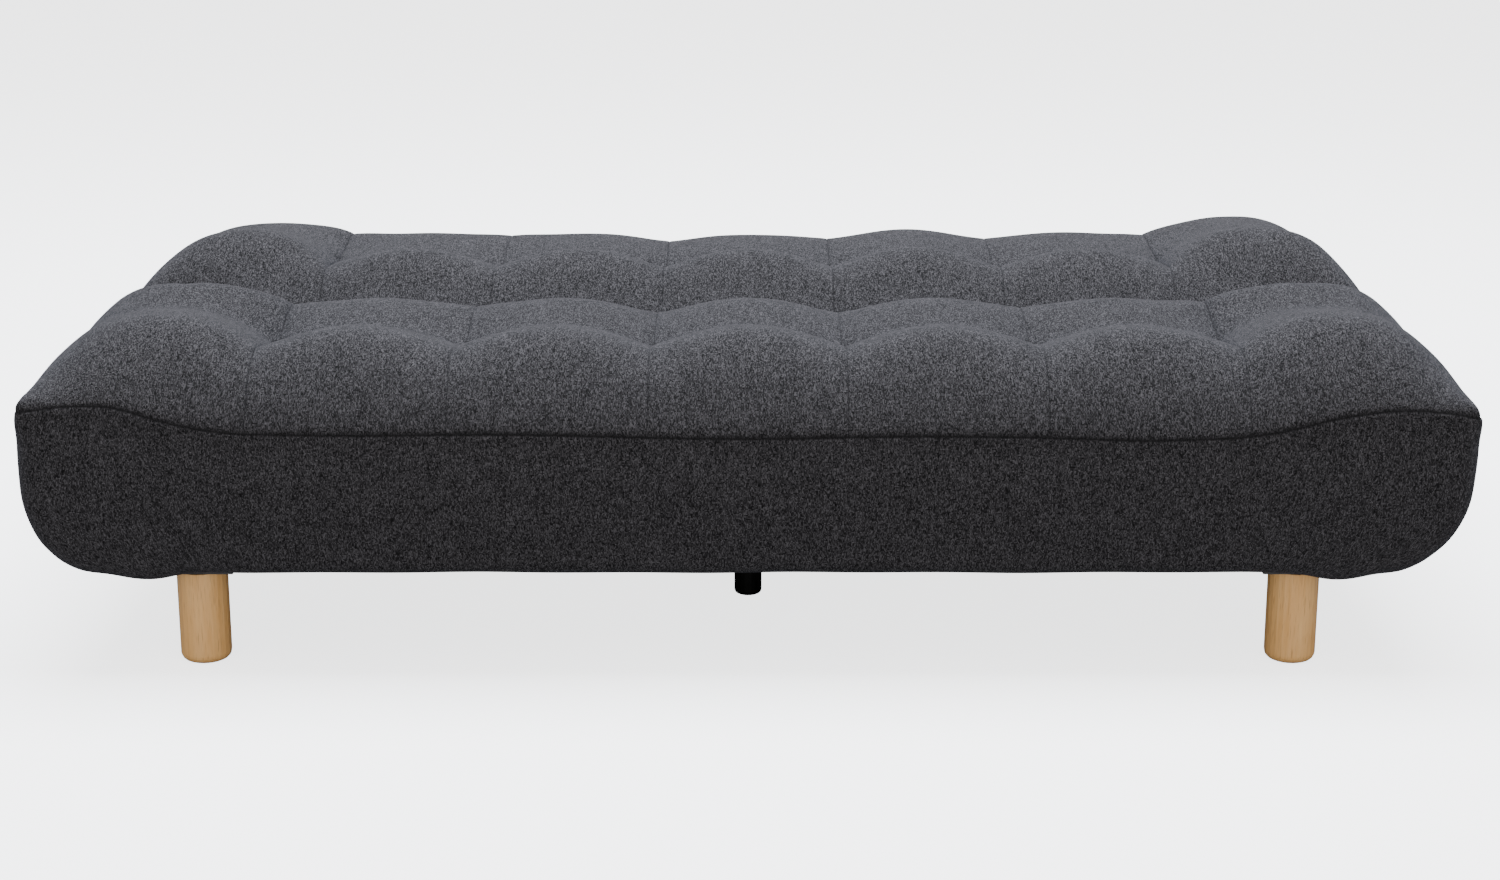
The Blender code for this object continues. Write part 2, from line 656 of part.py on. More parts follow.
def build_upholstery(finishes, half, sign, end_rail_x):
    """One half's cover and foam, with room for the frame and for the hinge sets."""
    cover = finish(f"{half}_cover", cover_shape(sign), finishes["charcoal_fabric"], smooth_angle=50)
    foam = finish(f"{half}_foam", foam_shape(sign), finishes["foam"], smooth_angle=50)
    below = SKIRT_Z - REACH
    reach = end_rail_x + END_TIMBER + CLEAR

    def room(piece, name, x_range, y_range, z_range):
        x0, x1 = sorted(x_range)
        y0, y1 = sorted(sign * y for y in y_range)
        cut(piece, box(f"{half}_{name}", (x0, y0, z_range[0]), (x1, y1, z_range[1]), None))

    frame_y = (CLEAR, BODY_DEPTH / 2 - OUTER_INSET + CLEAR)
    frame_top = RAIL_TOP_Z + STRAP_THICK + CLEAR
    room(foam, "frame_room", (-reach, reach), frame_y, (below, frame_top))
    for side, direction in SIDES.items():
        x_range = (direction * POCKET_X[0], direction * POCKET_X[1])
        room(foam, f"{side}_foam_notch", x_range, (CLEAR, FOAM_NOTCH_Y), (below, TOP_Z + REACH))
        room(cover, f"{side}_cover_slit", x_range, (CLEAR, SLIT_Y), (SLIT_BOTTOM_Z, TOP_Z + REACH))
    return [cover, foam]


# ---------------------------------------------------------------- the whole
def hang_on(name, pieces):
    """An empty on the hinge line that carries one half's pieces."""
    pivot = bpy.data.objects.new(name, None)
    pivot.location = (0, 0, HINGE_Z)
    bpy.context.scene.collection.objects.link(pivot)
    for piece in pieces:
        piece.parent = pivot
        piece.matrix_parent_inverse = Matrix.Translation((0, 0, -HINGE_Z))


def build():
    """The whole sofa bed."""
    for old in list(bpy.data.objects):
        bpy.data.objects.remove(old, do_unlink=True)
    finishes = make_materials()
    build_base(finishes)
    build_legs(finishes)
    carried = {"seat": [], "back": []}
    for side, sign in SIDES.items():
        build_pivot(finishes, side, sign)
        for half, pieces in build_arms(finishes, side, sign).items():
            carried[half] += pieces
    rail_x = {"seat": SEAT_ARM_X[1] + 0.0005, "back": BACK_ARM_X[1] + 0.0005}
    for half, sign in HALVES.items():
        carried[half] += build_frame(finishes, half, sign, rail_x[half])
        carried[half] += build_upholstery(finishes, half, sign, rail_x[half])
        hang_on(f"{half}_hinge", carried[half])


build()
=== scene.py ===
"""A low futon sofa bed: two tufted, upholstered halves that hinge on a steel base with round wooden legs.

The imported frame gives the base, the timber, the hinge sets and the legs. This script adds the two
upholstered halves as padded pieces, dresses every piece in a procedural finish, and sets up the
camera, the floor and the lights.
"""

import logging
import math
from dataclasses import dataclass, field
from enum import Enum
from typing import Callable, Iterable, Sequence

import bpy
import numpy as np
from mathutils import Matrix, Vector


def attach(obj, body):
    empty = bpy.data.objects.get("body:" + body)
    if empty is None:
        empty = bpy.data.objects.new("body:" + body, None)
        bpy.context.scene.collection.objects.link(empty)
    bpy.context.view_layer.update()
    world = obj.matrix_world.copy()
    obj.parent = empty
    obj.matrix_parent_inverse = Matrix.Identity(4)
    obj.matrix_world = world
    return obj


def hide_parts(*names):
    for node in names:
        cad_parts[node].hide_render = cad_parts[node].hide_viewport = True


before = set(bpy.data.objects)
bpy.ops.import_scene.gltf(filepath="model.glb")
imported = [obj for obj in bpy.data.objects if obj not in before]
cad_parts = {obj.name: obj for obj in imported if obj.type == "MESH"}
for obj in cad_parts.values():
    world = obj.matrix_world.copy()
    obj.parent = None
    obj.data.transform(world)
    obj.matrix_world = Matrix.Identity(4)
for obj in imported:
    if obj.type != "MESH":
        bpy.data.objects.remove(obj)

Array = np.ndarray
Knots = Sequence[tuple[float, float]]
Colour = tuple[float, float, float]

log = logging.getLogger("futon")


# ---------------------------------------------------------------- curves and grids


def smooth_curve(at: Array, knots: Knots) -> Array:
    """A smooth curve through the knots: cubic Hermite pieces whose slopes are the mean of their neighbours'.

    Args:
        at: Where the curve is read, in the knots' first coordinate.
        knots: Pairs of place and height, in rising order of place.

    Returns:
        The curve's heights, flat beyond its first and last knot.
    """
    xs, ys = np.array(knots, dtype=float).T
    slopes = np.gradient(ys, xs)
    slopes[[0, -1]] = 0.0
    x = np.clip(at, xs[0], xs[-1])
    k = np.clip(np.searchsorted(xs, x, side="right") - 1, 0, len(xs) - 2)
    h = xs[k + 1] - xs[k]
    t = (x - xs[k]) / h
    rise = t * t * (3 - 2 * t)
    return (
        ys[k] * (1 - rise)
        + ys[k + 1] * rise
        + h * t * (1 - t) * ((1 - t) * slopes[k] - t * slopes[k + 1])
    )


def smooth_step(at: Array, start: float, end: float) -> Array:
    """Zero before start, one after end, and an S-curve between them: t squared times (3 - 2t)."""
    t = np.clip((at - start) / (end - start), 0.0, 1.0)
    return t * t * (3 - 2 * t)


def smooth_least(a: Array, b: Array, width: float) -> Array:
    """The lesser of a and b, with the corner where they cross rounded over the given width.

    Args:
        a: First heights.
        b: Second heights.
        width: How wide the rounding is, in the heights' unit.

    Returns:
        The lesser value, less width * h * (1 - h), h being the share of a.
    """
    h = np.clip(0.5 + 0.5 * (b - a) / width, 0.0, 1.0)
    return b + (a - b) * h - width * h * (1 - h)


def quarter_round(distance: Array, reach: Array | float, power: float = 1.0) -> Array:
    """The height share of a rolled edge: a quarter circle from 0 at the edge to 1 at reach.

    Args:
        distance: Distance in from the edge.
        reach: Where the roll is over.
        power: Above 1 softens the roll's foot, below 1 fills it out.

    Returns:
        The square root of 1 - (1 - distance / reach) squared, to the power.
    """
    t = np.clip(distance / reach, 0.0, 1.0)
    return np.sqrt(1 - (1 - t) ** 2) ** power


def clustered(
    start: float, end: float, step: float, marks: Iterable[float], offsets: Sequence[float]
) -> Array:
    """Grid lines at an even step, crowded round some marks.

    Args:
        start: First grid line.
        end: Last grid line.
        step: Spacing away from the marks.
        marks: Places that get the close lines.
        offsets: Distances of the close lines from a mark, on both sides of it.

    Returns:
        The sorted grid lines; even lines too near a close line are left out.
    """
    close = np.array([m + s * d for m in marks for d in offsets for s in (-1, 1)] + [start, end])
    close = np.unique(np.round(close[(close >= start) & (close <= end)], 6))
    even = np.linspace(start, end, max(2, round((end - start) / step) + 1))
    clear = np.abs(even[:, None] - close[None, :]).min(axis=1) > 0.45 * step
    return np.sort(np.concatenate([close, even[clear]]))


def make_mesh(
    name: str, points: Array, quads: Array, odd_faces: Sequence[Sequence[int]] = ()
) -> bpy.types.Object:
    """Makes an object at the origin from whole arrays of points and faces.

    Args:
        name: The object's name.
        points: One row of x, y, z for each vertex.
        quads: One row of four vertex numbers for each face.
        odd_faces: Any faces with another number of corners.

    Returns:
        The new object, smooth shaded.
    """
    mesh = bpy.data.meshes.new(name)
    mesh.from_pydata(points.tolist(), [], [*quads.tolist(), *map(list, odd_faces)])
    mesh.polygons.foreach_set("use_smooth", np.ones(len(mesh.polygons), dtype=bool))
    mesh.update()
    piece = bpy.data.objects.new(name, mesh)
    bpy.context.scene.collection.objects.link(piece)
    return piece


def point_places(mesh: bpy.types.Mesh) -> Array:
    """A mesh's vertex places.

    Args:
        mesh: The mesh.

    Returns:
        One row of x, y, z for each vertex.
    """
    flat = np.empty(len(mesh.vertices) * 3, dtype=np.float32)
    mesh.vertices.foreach_get("co", flat)
    return flat.reshape(-1, 3).astype(float)


def set_places(mesh: bpy.types.Mesh, points: Array) -> None:
    """Puts a mesh's vertices at new places."""
    mesh.vertices.foreach_set("co", points.astype(np.float32).ravel())
    mesh.update()


def point_normals(mesh: bpy.types.Mesh) -> Array:
    """A mesh's vertex normals.

    Args:
        mesh: The mesh.

    Returns:
        One unit row for each vertex.
    """
    flat = np.empty(len(mesh.vertices) * 3, dtype=np.float32)
    mesh.vertex_normals.foreach_get("vector", flat)
    return flat.reshape(-1, 3).astype(float)


def soft_round(distance: Array, reach: float, power: float) -> Array:
    """The height share of a plump edge that starts at a slope: the sine of a quarter turn, to the power."""
    return np.sin(math.pi / 2 * np.clip(distance / reach, 0.0, 1.0)) ** power


# ---------------------------------------------------------------- the upholstered halves


class Half(Enum):
    """The two halves of the sofa bed. The value is the side of the hinge line, along Y."""

    SEAT = -1
    BACK = 1

    @property
    def body(self) -> str:
        """The name of the CAD body that the half belongs to."""
        return self.name.lower()


@dataclass(frozen=True)
class PillowRow:
    """One row of pillows, between two lines of stitching that run along the bed.

    Attributes:
        lift: Height added to each of the seven pillows, from left to right.
    """

    lift: tuple[float, ...] = (0.0,) * 7


@dataclass(frozen=True)
class HalfSizes:
    """The sizes of one half's upholstery, in metres. Distances called "in" are from the outer face.

    Attributes:
        tuft_in: How far in the row of tufts lies.
        crown: Height of the pillows' middles, before the edges roll over.
        crease: The same along the sewn columns.
        end_crown: The same for the pillows at the two ends.
        seam: Height of the seam along the outer face, from left to right.
        saddle_in: How far in the second row's low points on the columns lie.
        tuft_lift: Height added at each of the six tufts.
        saddle_lift: Height added at each of the six low points.
        end_stretch: How much faster the left and the right end rise from their seams.
        outer_row: The pillows between the outer face and the tufts.
        gap_row: The pillows between the tufts and the gap.
    """

    tuft_in: float
    crown: Knots
    crease: Knots
    end_crown: Knots
    seam: Knots
    saddle_in: float
    tuft_lift: tuple[float, ...]
    saddle_lift: tuple[float, ...]
    end_stretch: tuple[float, float]
    outer_row: PillowRow = field(default_factory=PillowRow)
    gap_row: PillowRow = field(default_factory=PillowRow)


SEAM_LINE: Knots = (
    (-0.910, 0.3430), (-0.852, 0.3500), (-0.787, 0.3490), (-0.727, 0.3310), (-0.656, 0.3170),
    (-0.566, 0.3135), (-0.300, 0.3140), (-0.010, 0.3085), (0.200, 0.3115), (0.351, 0.3105),
    (0.530, 0.3065), (0.650, 0.3150), (0.739, 0.3360), (0.810, 0.3450), (0.876, 0.3405), (0.910, 0.3350),
)

SIZES: dict[Half, HalfSizes] = {
    Half.SEAT: HalfSizes(
        tuft_in=0.250,
        crown=(
            (0.000, 0.4245), (0.125, 0.4245), (0.150, 0.4222), (0.200, 0.4080), (0.250, 0.3970),
            (0.300, 0.4060), (0.345, 0.4130), (0.380, 0.4120), (0.430, 0.4090), (0.518, 0.4000),
        ),
        crease=(
            (0.000, 0.4240), (0.030, 0.4220), (0.060, 0.4150), (0.100, 0.4050), (0.140, 0.3950),
            (0.180, 0.3860), (0.215, 0.3775), (0.250, 0.3690), (0.285, 0.3740), (0.320, 0.3820),
            (0.355, 0.3870), (0.390, 0.3880), (0.518, 0.3880),
        ),
        end_crown=(
            (0.000, 0.4380), (0.125, 0.4400), (0.160, 0.4380), (0.200, 0.4300), (0.250, 0.4230),
            (0.300, 0.4340), (0.345, 0.4435), (0.380, 0.4420), (0.430, 0.4350), (0.518, 0.4200),
        ),
        seam=SEAM_LINE,
        saddle_in=0.380,
        tuft_lift=(0.000, 0.0015, 0.000, -0.004, 0.000, 0.0095),
        saddle_lift=(0.011, 0.007, -0.0055, -0.0055, 0.005, 0.016),
        end_stretch=(1.0, 1.0),
    ),
    Half.BACK: HalfSizes(
        tuft_in=0.270,
        crown=(
            (0.000, 0.3930), (0.110, 0.3945), (0.150, 0.3960), (0.200, 0.3930), (0.270, 0.3900),
            (0.310, 0.4020), (0.350, 0.4140), (0.380, 0.4175), (0.430, 0.4120), (0.518, 0.4000),
        ),
        crease=(
            (0.000, 0.3910), (0.050, 0.3885), (0.110, 0.3845), (0.150, 0.3830), (0.195, 0.3780),
            (0.235, 0.3715), (0.270, 0.3660), (0.310, 0.3745), (0.340, 0.3825), (0.380, 0.3910),
            (0.410, 0.3950), (0.518, 0.3990),
        ),
        end_crown=(
            (0.000, 0.4060), (0.090, 0.4110), (0.130, 0.4135), (0.180, 0.4155), (0.230, 0.4180),
            (0.270, 0.4240), (0.310, 0.4350), (0.345, 0.4420), (0.380, 0.4400), (0.430, 0.4320),
            (0.518, 0.4200),
        ),
        seam=tuple((-x, z) for x, z in reversed(SEAM_LINE)),
        saddle_in=0.130,
        tuft_lift=(0.014, 0.003, -0.009, -0.001, -0.0045, 0.014),
        saddle_lift=(0.009, 0.006, -0.006, 0.000, 0.000, 0.007),
        end_stretch=(0.93, 1.16),
        outer_row=PillowRow((-0.003, 0.000, -0.001, -0.003, 0.006, 0.001, 0.008)),
        gap_row=PillowRow((0.000, 0.000, 0.000, 0.000, 0.003, 0.000, 0.002)),
    ),
}

# Share of its height that the top has reached, by the distance in from an end.
END_ROLL: Knots = (
    (0.0000, 0.000), (0.0015, 0.060), (0.0040, 0.125), (0.0085, 0.200), (0.0150, 0.290),
    (0.0240, 0.390), (0.0340, 0.480), (0.0440, 0.565), (0.0600, 0.695), (0.0750, 0.800),
    (0.0950, 0.900), (0.1200, 0.970), (0.1550, 1.000),
)

# How far the outer face stands in, by height.
OUTER_PROFILE: Knots = (
    (0.1285, 0.0260), (0.1300, 0.0180), (0.1340, 0.0105), (0.1420, 0.0050), (0.1600, 0.0018),
    (0.2000, -0.0005), (0.2500, -0.0010), (0.2950, 0.0010), (0.3450, 0.0000),
)

# How far the ends stand in, by height: a wide round below, nearly upright above.
END_PROFILE: Knots = (
    (0.1285, 0.0780), (0.1310, 0.0650), (0.1370, 0.0530), (0.1460, 0.0400), (0.1590, 0.0265),
    (0.1720, 0.0160), (0.1850, 0.0092), (0.1990, 0.0038), (0.2250, -0.0025), (0.2510, -0.0040),
    (0.3020, -0.0042), (0.3280, -0.0030), (0.3450, 0.0000),
)

# How much further in the right end stands: its lower corner is rounder than the left's.
RIGHT_END_EXTRA: Knots = (
    (0.1285, 0.0170), (0.1460, 0.0150), (0.1720, 0.0100), (0.1990, 0.0060), (0.2510, 0.0025),
    (0.3200, 0.0),
)

# How far the channel for a hinge set goes in from the gap face, by height.
HINGE_CHANNEL: Knots = ((0.2000, 0.054), (0.228, 0.040), (0.290, 0.038), (0.325, 0.028))

# Distances of the close grid lines from a column, and from an edge.
COLUMN_LINES = (0.0, 0.0012, 0.0030, 0.0065)
EDGE_LINES = (0.0015, 0.0040, 0.0085, 0.015, 0.024)
GAP_LINES = (0.003, 0.008, 0.015)

# Shares of the way up from the hem to the seam at which the outer faces have a loop of points.
FACE_LEVELS = (
    0, 0.006, 0.016, 0.03, 0.05, 0.075, 0.105, 0.145, 0.195, 0.255, 0.32, 0.39, 0.46, 0.53, 0.60, 0.67,
    0.74, 0.80, 0.86, 0.91, 0.95, 0.975, 0.99,
)


@dataclass(frozen=True)
class FrameRoom:
    """The room that a half's upholstery leaves for its timber frame.

    Attributes:
        half_width: Half its width.
        near: Its wall at the gap, from the hinge line.
        far: Its wall at the outer face.
        ceiling: Height of its ceiling.
        hinge_in: How much further in its gap wall stands where a hinge set passes.
        gap_low: Height of the gap wall's lower edge.
        hinge_low: The same where a hinge set passes.
    """

    half_width: float = 0.8475
    near: float = 0.0147
    far: float = 0.5035
    ceiling: float = 0.2046
    hinge_in: float = 0.0513
    gap_low: float = 0.1540
    hinge_low: float = 0.2036


# The hem turned in round the dust cover: half width, distance further from the room's gap wall,
# outer edge, distance above the gap wall's lower edge, and height at the outer face.
HEM = (
    (0.8310, 0.0002, 0.4816, 0.0003, 0.1311),
    (0.8305, 0.0, 0.4814, 0.0, 0.1297),
    (0.8310, -0.0004, 0.4817, -0.0004, 0.1287),
)


@dataclass
class TuftedHalf:
    """The padded upholstery of one half: a boxed cover with sewn columns and a row of tufts.

    The cover is one closed surface. Its top is a grid whose edge is the seam; below the seam, loops
    with as many points as the grid's edge go down the faces, under the rails and up into the room
    for the timber frame.

    Attributes:
        half: Which half this is.
        half_width: Half the width across the ends.
        half_depth: Outer face to hinge line.
        gap: Gap face to hinge line.
        hinge_z: Height of the hinge line.
        fold: Steepest run of a shoulder at the gap that still clears the other half when folded.
        columns: The sewn columns' places along X.
        hinge_window: Where along X a hinge set stands: full depth from the second to the third.
        corner: Plan radius at the outer corners, at the seam and below it.
        step: Spacing of the grid.
        pressure: Pressure of the filling in the cloth simulation.
        reach: Furthest that the simulation may move a point.
        highest: Greatest height of the end pillows.
        frames: Length of the simulation.
        under: Height of the underside at the outer face.
        end_sag: How much lower the underside hangs near the ends.
        hem_wave: Unevenness of the underside along the outer face.
        outer_knee: Where the outer face's points start to be drawn in towards the ends.
        column_weight: How strongly a column's stitching shows beside the edge seam's: the depth of its groove
            and of its painted shade.
        seam_groove: Depth and width of the groove along the stitching.
        seam_dip: Depth and width of the soft dip beside it.
        pucker_height: Height of the small puckers.
        corner_ear: How far the seam's corners stick out, and over what distance.
        room: The room for the timber frame.
        hem: The hem's loops.
    """

    half: Half
    half_width: float = 0.910
    half_depth: float = 0.530
    gap: float = 0.012
    hinge_z: float = 0.305
    fold: float = 1 / 1.303
    columns: tuple[float, ...] = (-0.625, -0.375, -0.125, 0.125, 0.375, 0.625)
    hinge_window: tuple[float, float, float, float] = (0.760, 0.767, 0.8475, 0.8545)
    corner: tuple[float, float] = (0.014, 0.026)
    step: float = 0.0115
    pressure: float = 4.0
    reach: float = 0.0045
    highest: float = 0.4470
    frames: int = 20
    under: float = 0.1285
    end_sag: float = 0.0095
    hem_wave: float = 0.0009
    outer_knee: float = 0.620
    column_weight: float = 0.7
    seam_groove: tuple[float, float] = (0.0014, 0.0011)
    seam_dip: tuple[float, float] = (0.0004, 0.005)
    pucker_height: float = 0.00035
    corner_ear: tuple[float, float] = (0.0032, 0.007)
    room: FrameRoom = FrameRoom()
    hem: tuple[tuple[float, ...], ...] = HEM

    def __post_init__(self) -> None:
        """Lays out the grid lines and the border that the top and the loops share."""
        self.sizes = SIZES[self.half]
        edge = [side * (self.half_width - d) for side in (-1, 1) for d in EDGE_LINES]
        window = [side * x for side in (-1, 1) for x in self.hinge_window]
        lines = clustered(-self.half_width, self.half_width, self.step, self.columns, COLUMN_LINES)
        close = np.unique(np.round([*edge, *window], 6))
        clear = np.abs(lines[:, None] - close[None, :]).min(axis=1) > 0.0012
        clear[[0, -1]] = True
        self.x_lines = np.sort(np.concatenate([lines[clear], close]))
        depth = self.half_depth - self.gap
        gap_edge = [depth - d for d in GAP_LINES]
        rows = clustered(0.0, depth, self.step, [], ())
        close = np.array([*EDGE_LINES, *gap_edge])
        clear = np.abs(rows[:, None] - close[None, :]).min(axis=1) > 0.004
        clear[[0, -1]] = True
        inward = np.sort(np.concatenate([rows[clear], close]))
        self.y_lines = depth - inward[::-1]
        nx, ny = len(self.x_lines), len(self.y_lines)
        i = np.concatenate(
            [np.arange(nx), np.full(ny - 1, nx - 1), np.arange(nx - 2, -1, -1), np.zeros(ny - 2)]
        )
        j = np.concatenate(
            [np.zeros(nx), np.arange(1, ny), np.full(nx - 1, ny - 1), np.arange(ny - 2, 0, -1)]
        )
        self.border = i.astype(int), j.astype(int)

    # ------------------------------------------------ the plan

    def window(self, x: Array) -> Array:
        """One where a hinge set stands, zero elsewhere, along X."""
        a, b, c, d = self.hinge_window
        return smooth_step(np.abs(x), a, b) * (1 - smooth_step(np.abs(x), c, d))

    def channel(self, z: Array) -> Array:
        """How far the channel for a hinge set goes in from the gap face, at a height."""
        return smooth_curve(z, HINGE_CHANNEL)

    def rounded(
        self, x: Array, y: Array, wide: Array, near: Array, far: Array, radius: tuple[float, float]
    ) -> tuple[Array, Array]:
        """Rounds the corners of a rectangular plan, by drawing each corner's square onto a quarter disc.

        Args:
            x: Places along X.
            y: Distances from the hinge line.
            wide: Half the rectangle's width.
            near: Its edge at the gap.
            far: Its edge at the outer face.
            radius: The corners' radius at the gap and at the outer face.

        Returns:
            The new x and y. p and q, the shares of the corner square, become p * sqrt(1 - q*q/2)
            and q * sqrt(1 - p*p/2).
        """
        middle = (near + far) / 2
        r = np.where(y < middle, *radius)
        p = np.clip((np.abs(x) - (wide - r)) / r, 0, 1)
        q = np.clip((np.abs(y - middle) - ((far - near) / 2 - r)) / r, 0, 1)
        dx = r * (p - p * np.sqrt(1 - q * q / 2))
        dy = r * (q - q * np.sqrt(1 - p * p / 2))
        return x - np.sign(x) * dx, y - np.sign(y - middle) * dy

    # ------------------------------------------------ the top

    def pillow_lift(self, x: Array, inward: Array) -> Array:
        """The height that single pillows and tufts stand above or below their neighbours.

        Args:
            x: Places along X.
            inward: Distances in from the outer face.

        Returns:
            Each pillow's own lift, faded out towards its seams, and each tuft's, over 60 mm.
        """
        s = self.sizes
        number = np.searchsorted(self.columns, x)
        ends = np.array([-self.half_width, *self.columns, self.half_width])
        t = (x - ends[number]) / (ends[number + 1] - ends[number])
        bell = np.sin(math.pi * t) ** 2
        past_tufts = smooth_step(inward, s.tuft_in - 0.05, s.tuft_in + 0.05)
        outer = np.array(s.outer_row.lift)[number] * (1 - past_tufts)
        inner = np.array(s.gap_row.lift)[number] * past_tufts
        lift = (outer + inner) * bell
        for column, rise in zip(self.columns, s.tuft_lift):
            lift += rise * np.exp(-(((x - column) / 0.060) ** 2) - ((inward - s.tuft_in) / 0.060) ** 2)
        for column, rise in zip(self.columns, s.saddle_lift):
            lift += rise * np.exp(-(((x - column) / 0.055) ** 2) - ((inward - s.saddle_in) / 0.070) ** 2)
        return lift

    def shoulder(self, y: Array) -> Array:
        """The height at each distance from the hinge line that still clears the other half when folded."""
        return self.hinge_z - 0.0025 + self.fold * y

    def top_height(self, x: Array, y: Array) -> Array:
        """The height of the top.

        Args:
            x: Places along X.
            y: Distances from the hinge line.

        Returns:
            The pillows' height, drawn down to the seam by a rolled edge at the outer face and
            the ends, and kept under the shoulder line at the gap.
        """
        s = self.sizes
        inward = self.half_depth - y
        from_end = self.half_width - np.abs(x)
        nearest = np.abs(x[..., None] - np.array(self.columns)).min(axis=-1)
        pitch = self.columns[1] - self.columns[0]
        full = (np.sin(math.pi * np.clip(nearest / pitch, 0, 0.5)) ** 2 + 0.0006) ** 0.54
        end_full = np.sin(math.pi / 2 * np.clip(nearest / 0.118, 0, 1)) ** 0.80
        at_end = np.abs(x) > self.columns[-1]
        crease = smooth_curve(inward, s.crease)
        crown = np.where(at_end, smooth_curve(inward, s.end_crown), smooth_curve(inward, s.crown))
        height = crease + (crown - crease) * np.where(at_end, end_full, np.minimum(full, 1.0))
        height = height + self.pillow_lift(x, inward)
        for column in self.columns:
            tuft = ((x - column) / 0.016) ** 2 + ((inward - s.tuft_in) / 0.016) ** 2
            height = height - 0.005 * np.exp(-tuft)
        stretch = np.where(x > 0, s.end_stretch[1], s.end_stretch[0])
        roll = smooth_curve(from_end * stretch, END_ROLL) * soft_round(inward, 0.128, 0.74)
        base = smooth_curve(x, s.seam)
        height = base + (height - base) * roll
        corner = np.exp(-((from_end / 0.035) ** 2) - (inward / 0.045) ** 2)
        height = height + 0.013 * corner * (1 - np.exp(-np.maximum(np.minimum(from_end, inward), 0) / 0.0035))
        line = self.shoulder(y)
        height = smooth_least(height, line, 0.026)
        edge = self.hinge_z - 0.012
        return edge + (height - edge) * quarter_round(y - self.gap, 0.022, 0.9)

    def top(self) -> Array:
        """The top's points: the grid's heights, with the hinge sets' channels and rounded corners.

        Returns:
            The grid of points, one row of it for each line across the bed.
        """
        x, y = np.meshgrid(self.x_lines, self.gap + self.y_lines, indexing="ij")
        z = self.top_height(x, y)
        pocket = self.window(x) * self.channel(z)
        y = y + pocket * (1 - smooth_step(y, 0.030, 0.140)) * (1 - self.y_share(y) ** 2)
        wide, near, far = self.half_width, np.full_like(x, self.gap), np.full_like(x, self.half_depth)
        x, y = self.rounded(x, y, wide, near, far, (0.008, self.corner[0]))
        return np.stack([x, y, z], axis=-1)

    def y_share(self, y: Array) -> Array:
        """The share of the way from the gap face to the outer face."""
        return (y - self.gap) / (self.half_depth - self.gap)

    # ------------------------------------------------ the faces below the seam

    def loops(self, edge: Array) -> Array:
        """The loops of points from the ceiling of the frame's room, under the rails and up to the seam.

        Args:
            edge: The points of the seam, that the last loop runs up to.

        Returns:
            The loops in order, all with as many points as the seam.
        """
        i, j = self.border
        u, v = self.x_lines[i], self.y_lines[j] / self.y_lines[-1]
        at_gap, past = j == 0, np.abs(u) > self.hinge_window[1]
        window = np.where(at_gap, self.window(u), 0.0)
        open_side = np.where(at_gap & past, 1.0, window)
        share = smooth_step(v, 0.0, 0.22)
        made = []

        def loop(
            wide: Array | float, near: Array | float, far: Array | float, z: Array, radius: float
        ) -> None:
            """Adds one loop: a rounded rectangle whose points past a knee are drawn in along X.

            Args:
                wide: Half its width.
                near: Its edge at the gap.
                far: Its edge at the outer face.
                z: Its points' heights.
                radius: Radius of its outer corners.
            """
            knee = self.hinge_window[3] + (self.outer_knee - self.hinge_window[3]) * v
            wide = np.broadcast_to(np.asarray(wide, dtype=float), u.shape)
            knee = np.minimum(knee, wide - 0.0005)
            spread = np.maximum(np.abs(u) - knee, 0) / (self.half_width - knee)
            x = np.sign(u) * (np.minimum(np.abs(u), knee) + spread * (wide - knee))
            y = near + (far - near) * v
            x, y = self.rounded(x, y, wide, near + 0 * v, far + 0 * v, (0.006, radius))
            made.append(np.stack([x, y, z + 0 * v], axis=-1))

        def across(gap_z: Array, outer_z: Array | float) -> Array:
            """Heights that go over from those at the gap to those at the outer face."""
            return gap_z + (outer_z - gap_z) * share

        room, hem = self.room, self.hem
        near = room.near + open_side * room.hinge_in
        low_gap = room.gap_low + open_side * (room.hinge_low - room.gap_low)
        loop(room.half_width, near, room.far, np.full_like(v, room.ceiling), 0.005)
        loop(room.half_width, near, room.far, across(low_gap + 0.0006, 0.1500), 0.005)
        loop(room.half_width - 0.004, near, room.far - 0.001, across(low_gap + 0.0005, 0.1312), 0.006)
        for half_width, near_out, far, gap_up, outer_z in hem:
            loop(half_width, near + near_out, far, across(low_gap + gap_up, outer_z), 0.005)

        sag = self.end_sag * np.exp(-(((np.abs(u) - 0.80) / 0.050) ** 2))
        wave = self.hem_wave * np.sin(23 * u) * np.cos(9 * u)
        low = across(low_gap - 0.0005, self.under - sag + wave)
        for level in FACE_LEVELS:
            z = low + (edge[:, 2] - low) * level
            height = z - (low - self.under) * (1 - level) * share
            outer_in = smooth_curve(height, OUTER_PROFILE)
            end_in = smooth_curve(height, END_PROFILE)
            end_in = end_in + (u > 0) * smooth_curve(height, RIGHT_END_EXTRA)
            near = self.gap + window * self.channel(z)
            near_seam = smooth_step(np.array(float(level)), 0.80, 1.0)
            radius = self.corner[1] + (self.corner[0] - self.corner[1]) * near_seam
            loop(self.half_width - end_in, near, self.half_depth - outer_in, z, float(radius))
        return np.stack(made)

    # ------------------------------------------------ putting it together

    def shape(self) -> tuple[bpy.types.Object, dict[str, Array]]:
        """Builds the closed cover before its filling pushes it out.

        Returns:
            The object, and arrays with one value for each point: "seam", the distance to the
            nearest stitching; "weight", how strongly that stitching shows; "hold", one where the
            simulation holds the cloth; "free", the share of the simulation's move that is kept,
            which fades out at the seam.
        """
        top = self.top()
        nx, ny = top.shape[:2]
        i, j = self.border
        edge = top[i, j]
        below = self.loops(edge)
        count, around = below.shape[:2]
        points = np.concatenate([top.reshape(-1, 3), below.reshape(-1, 3)])
        points[:, 1] *= self.half.value

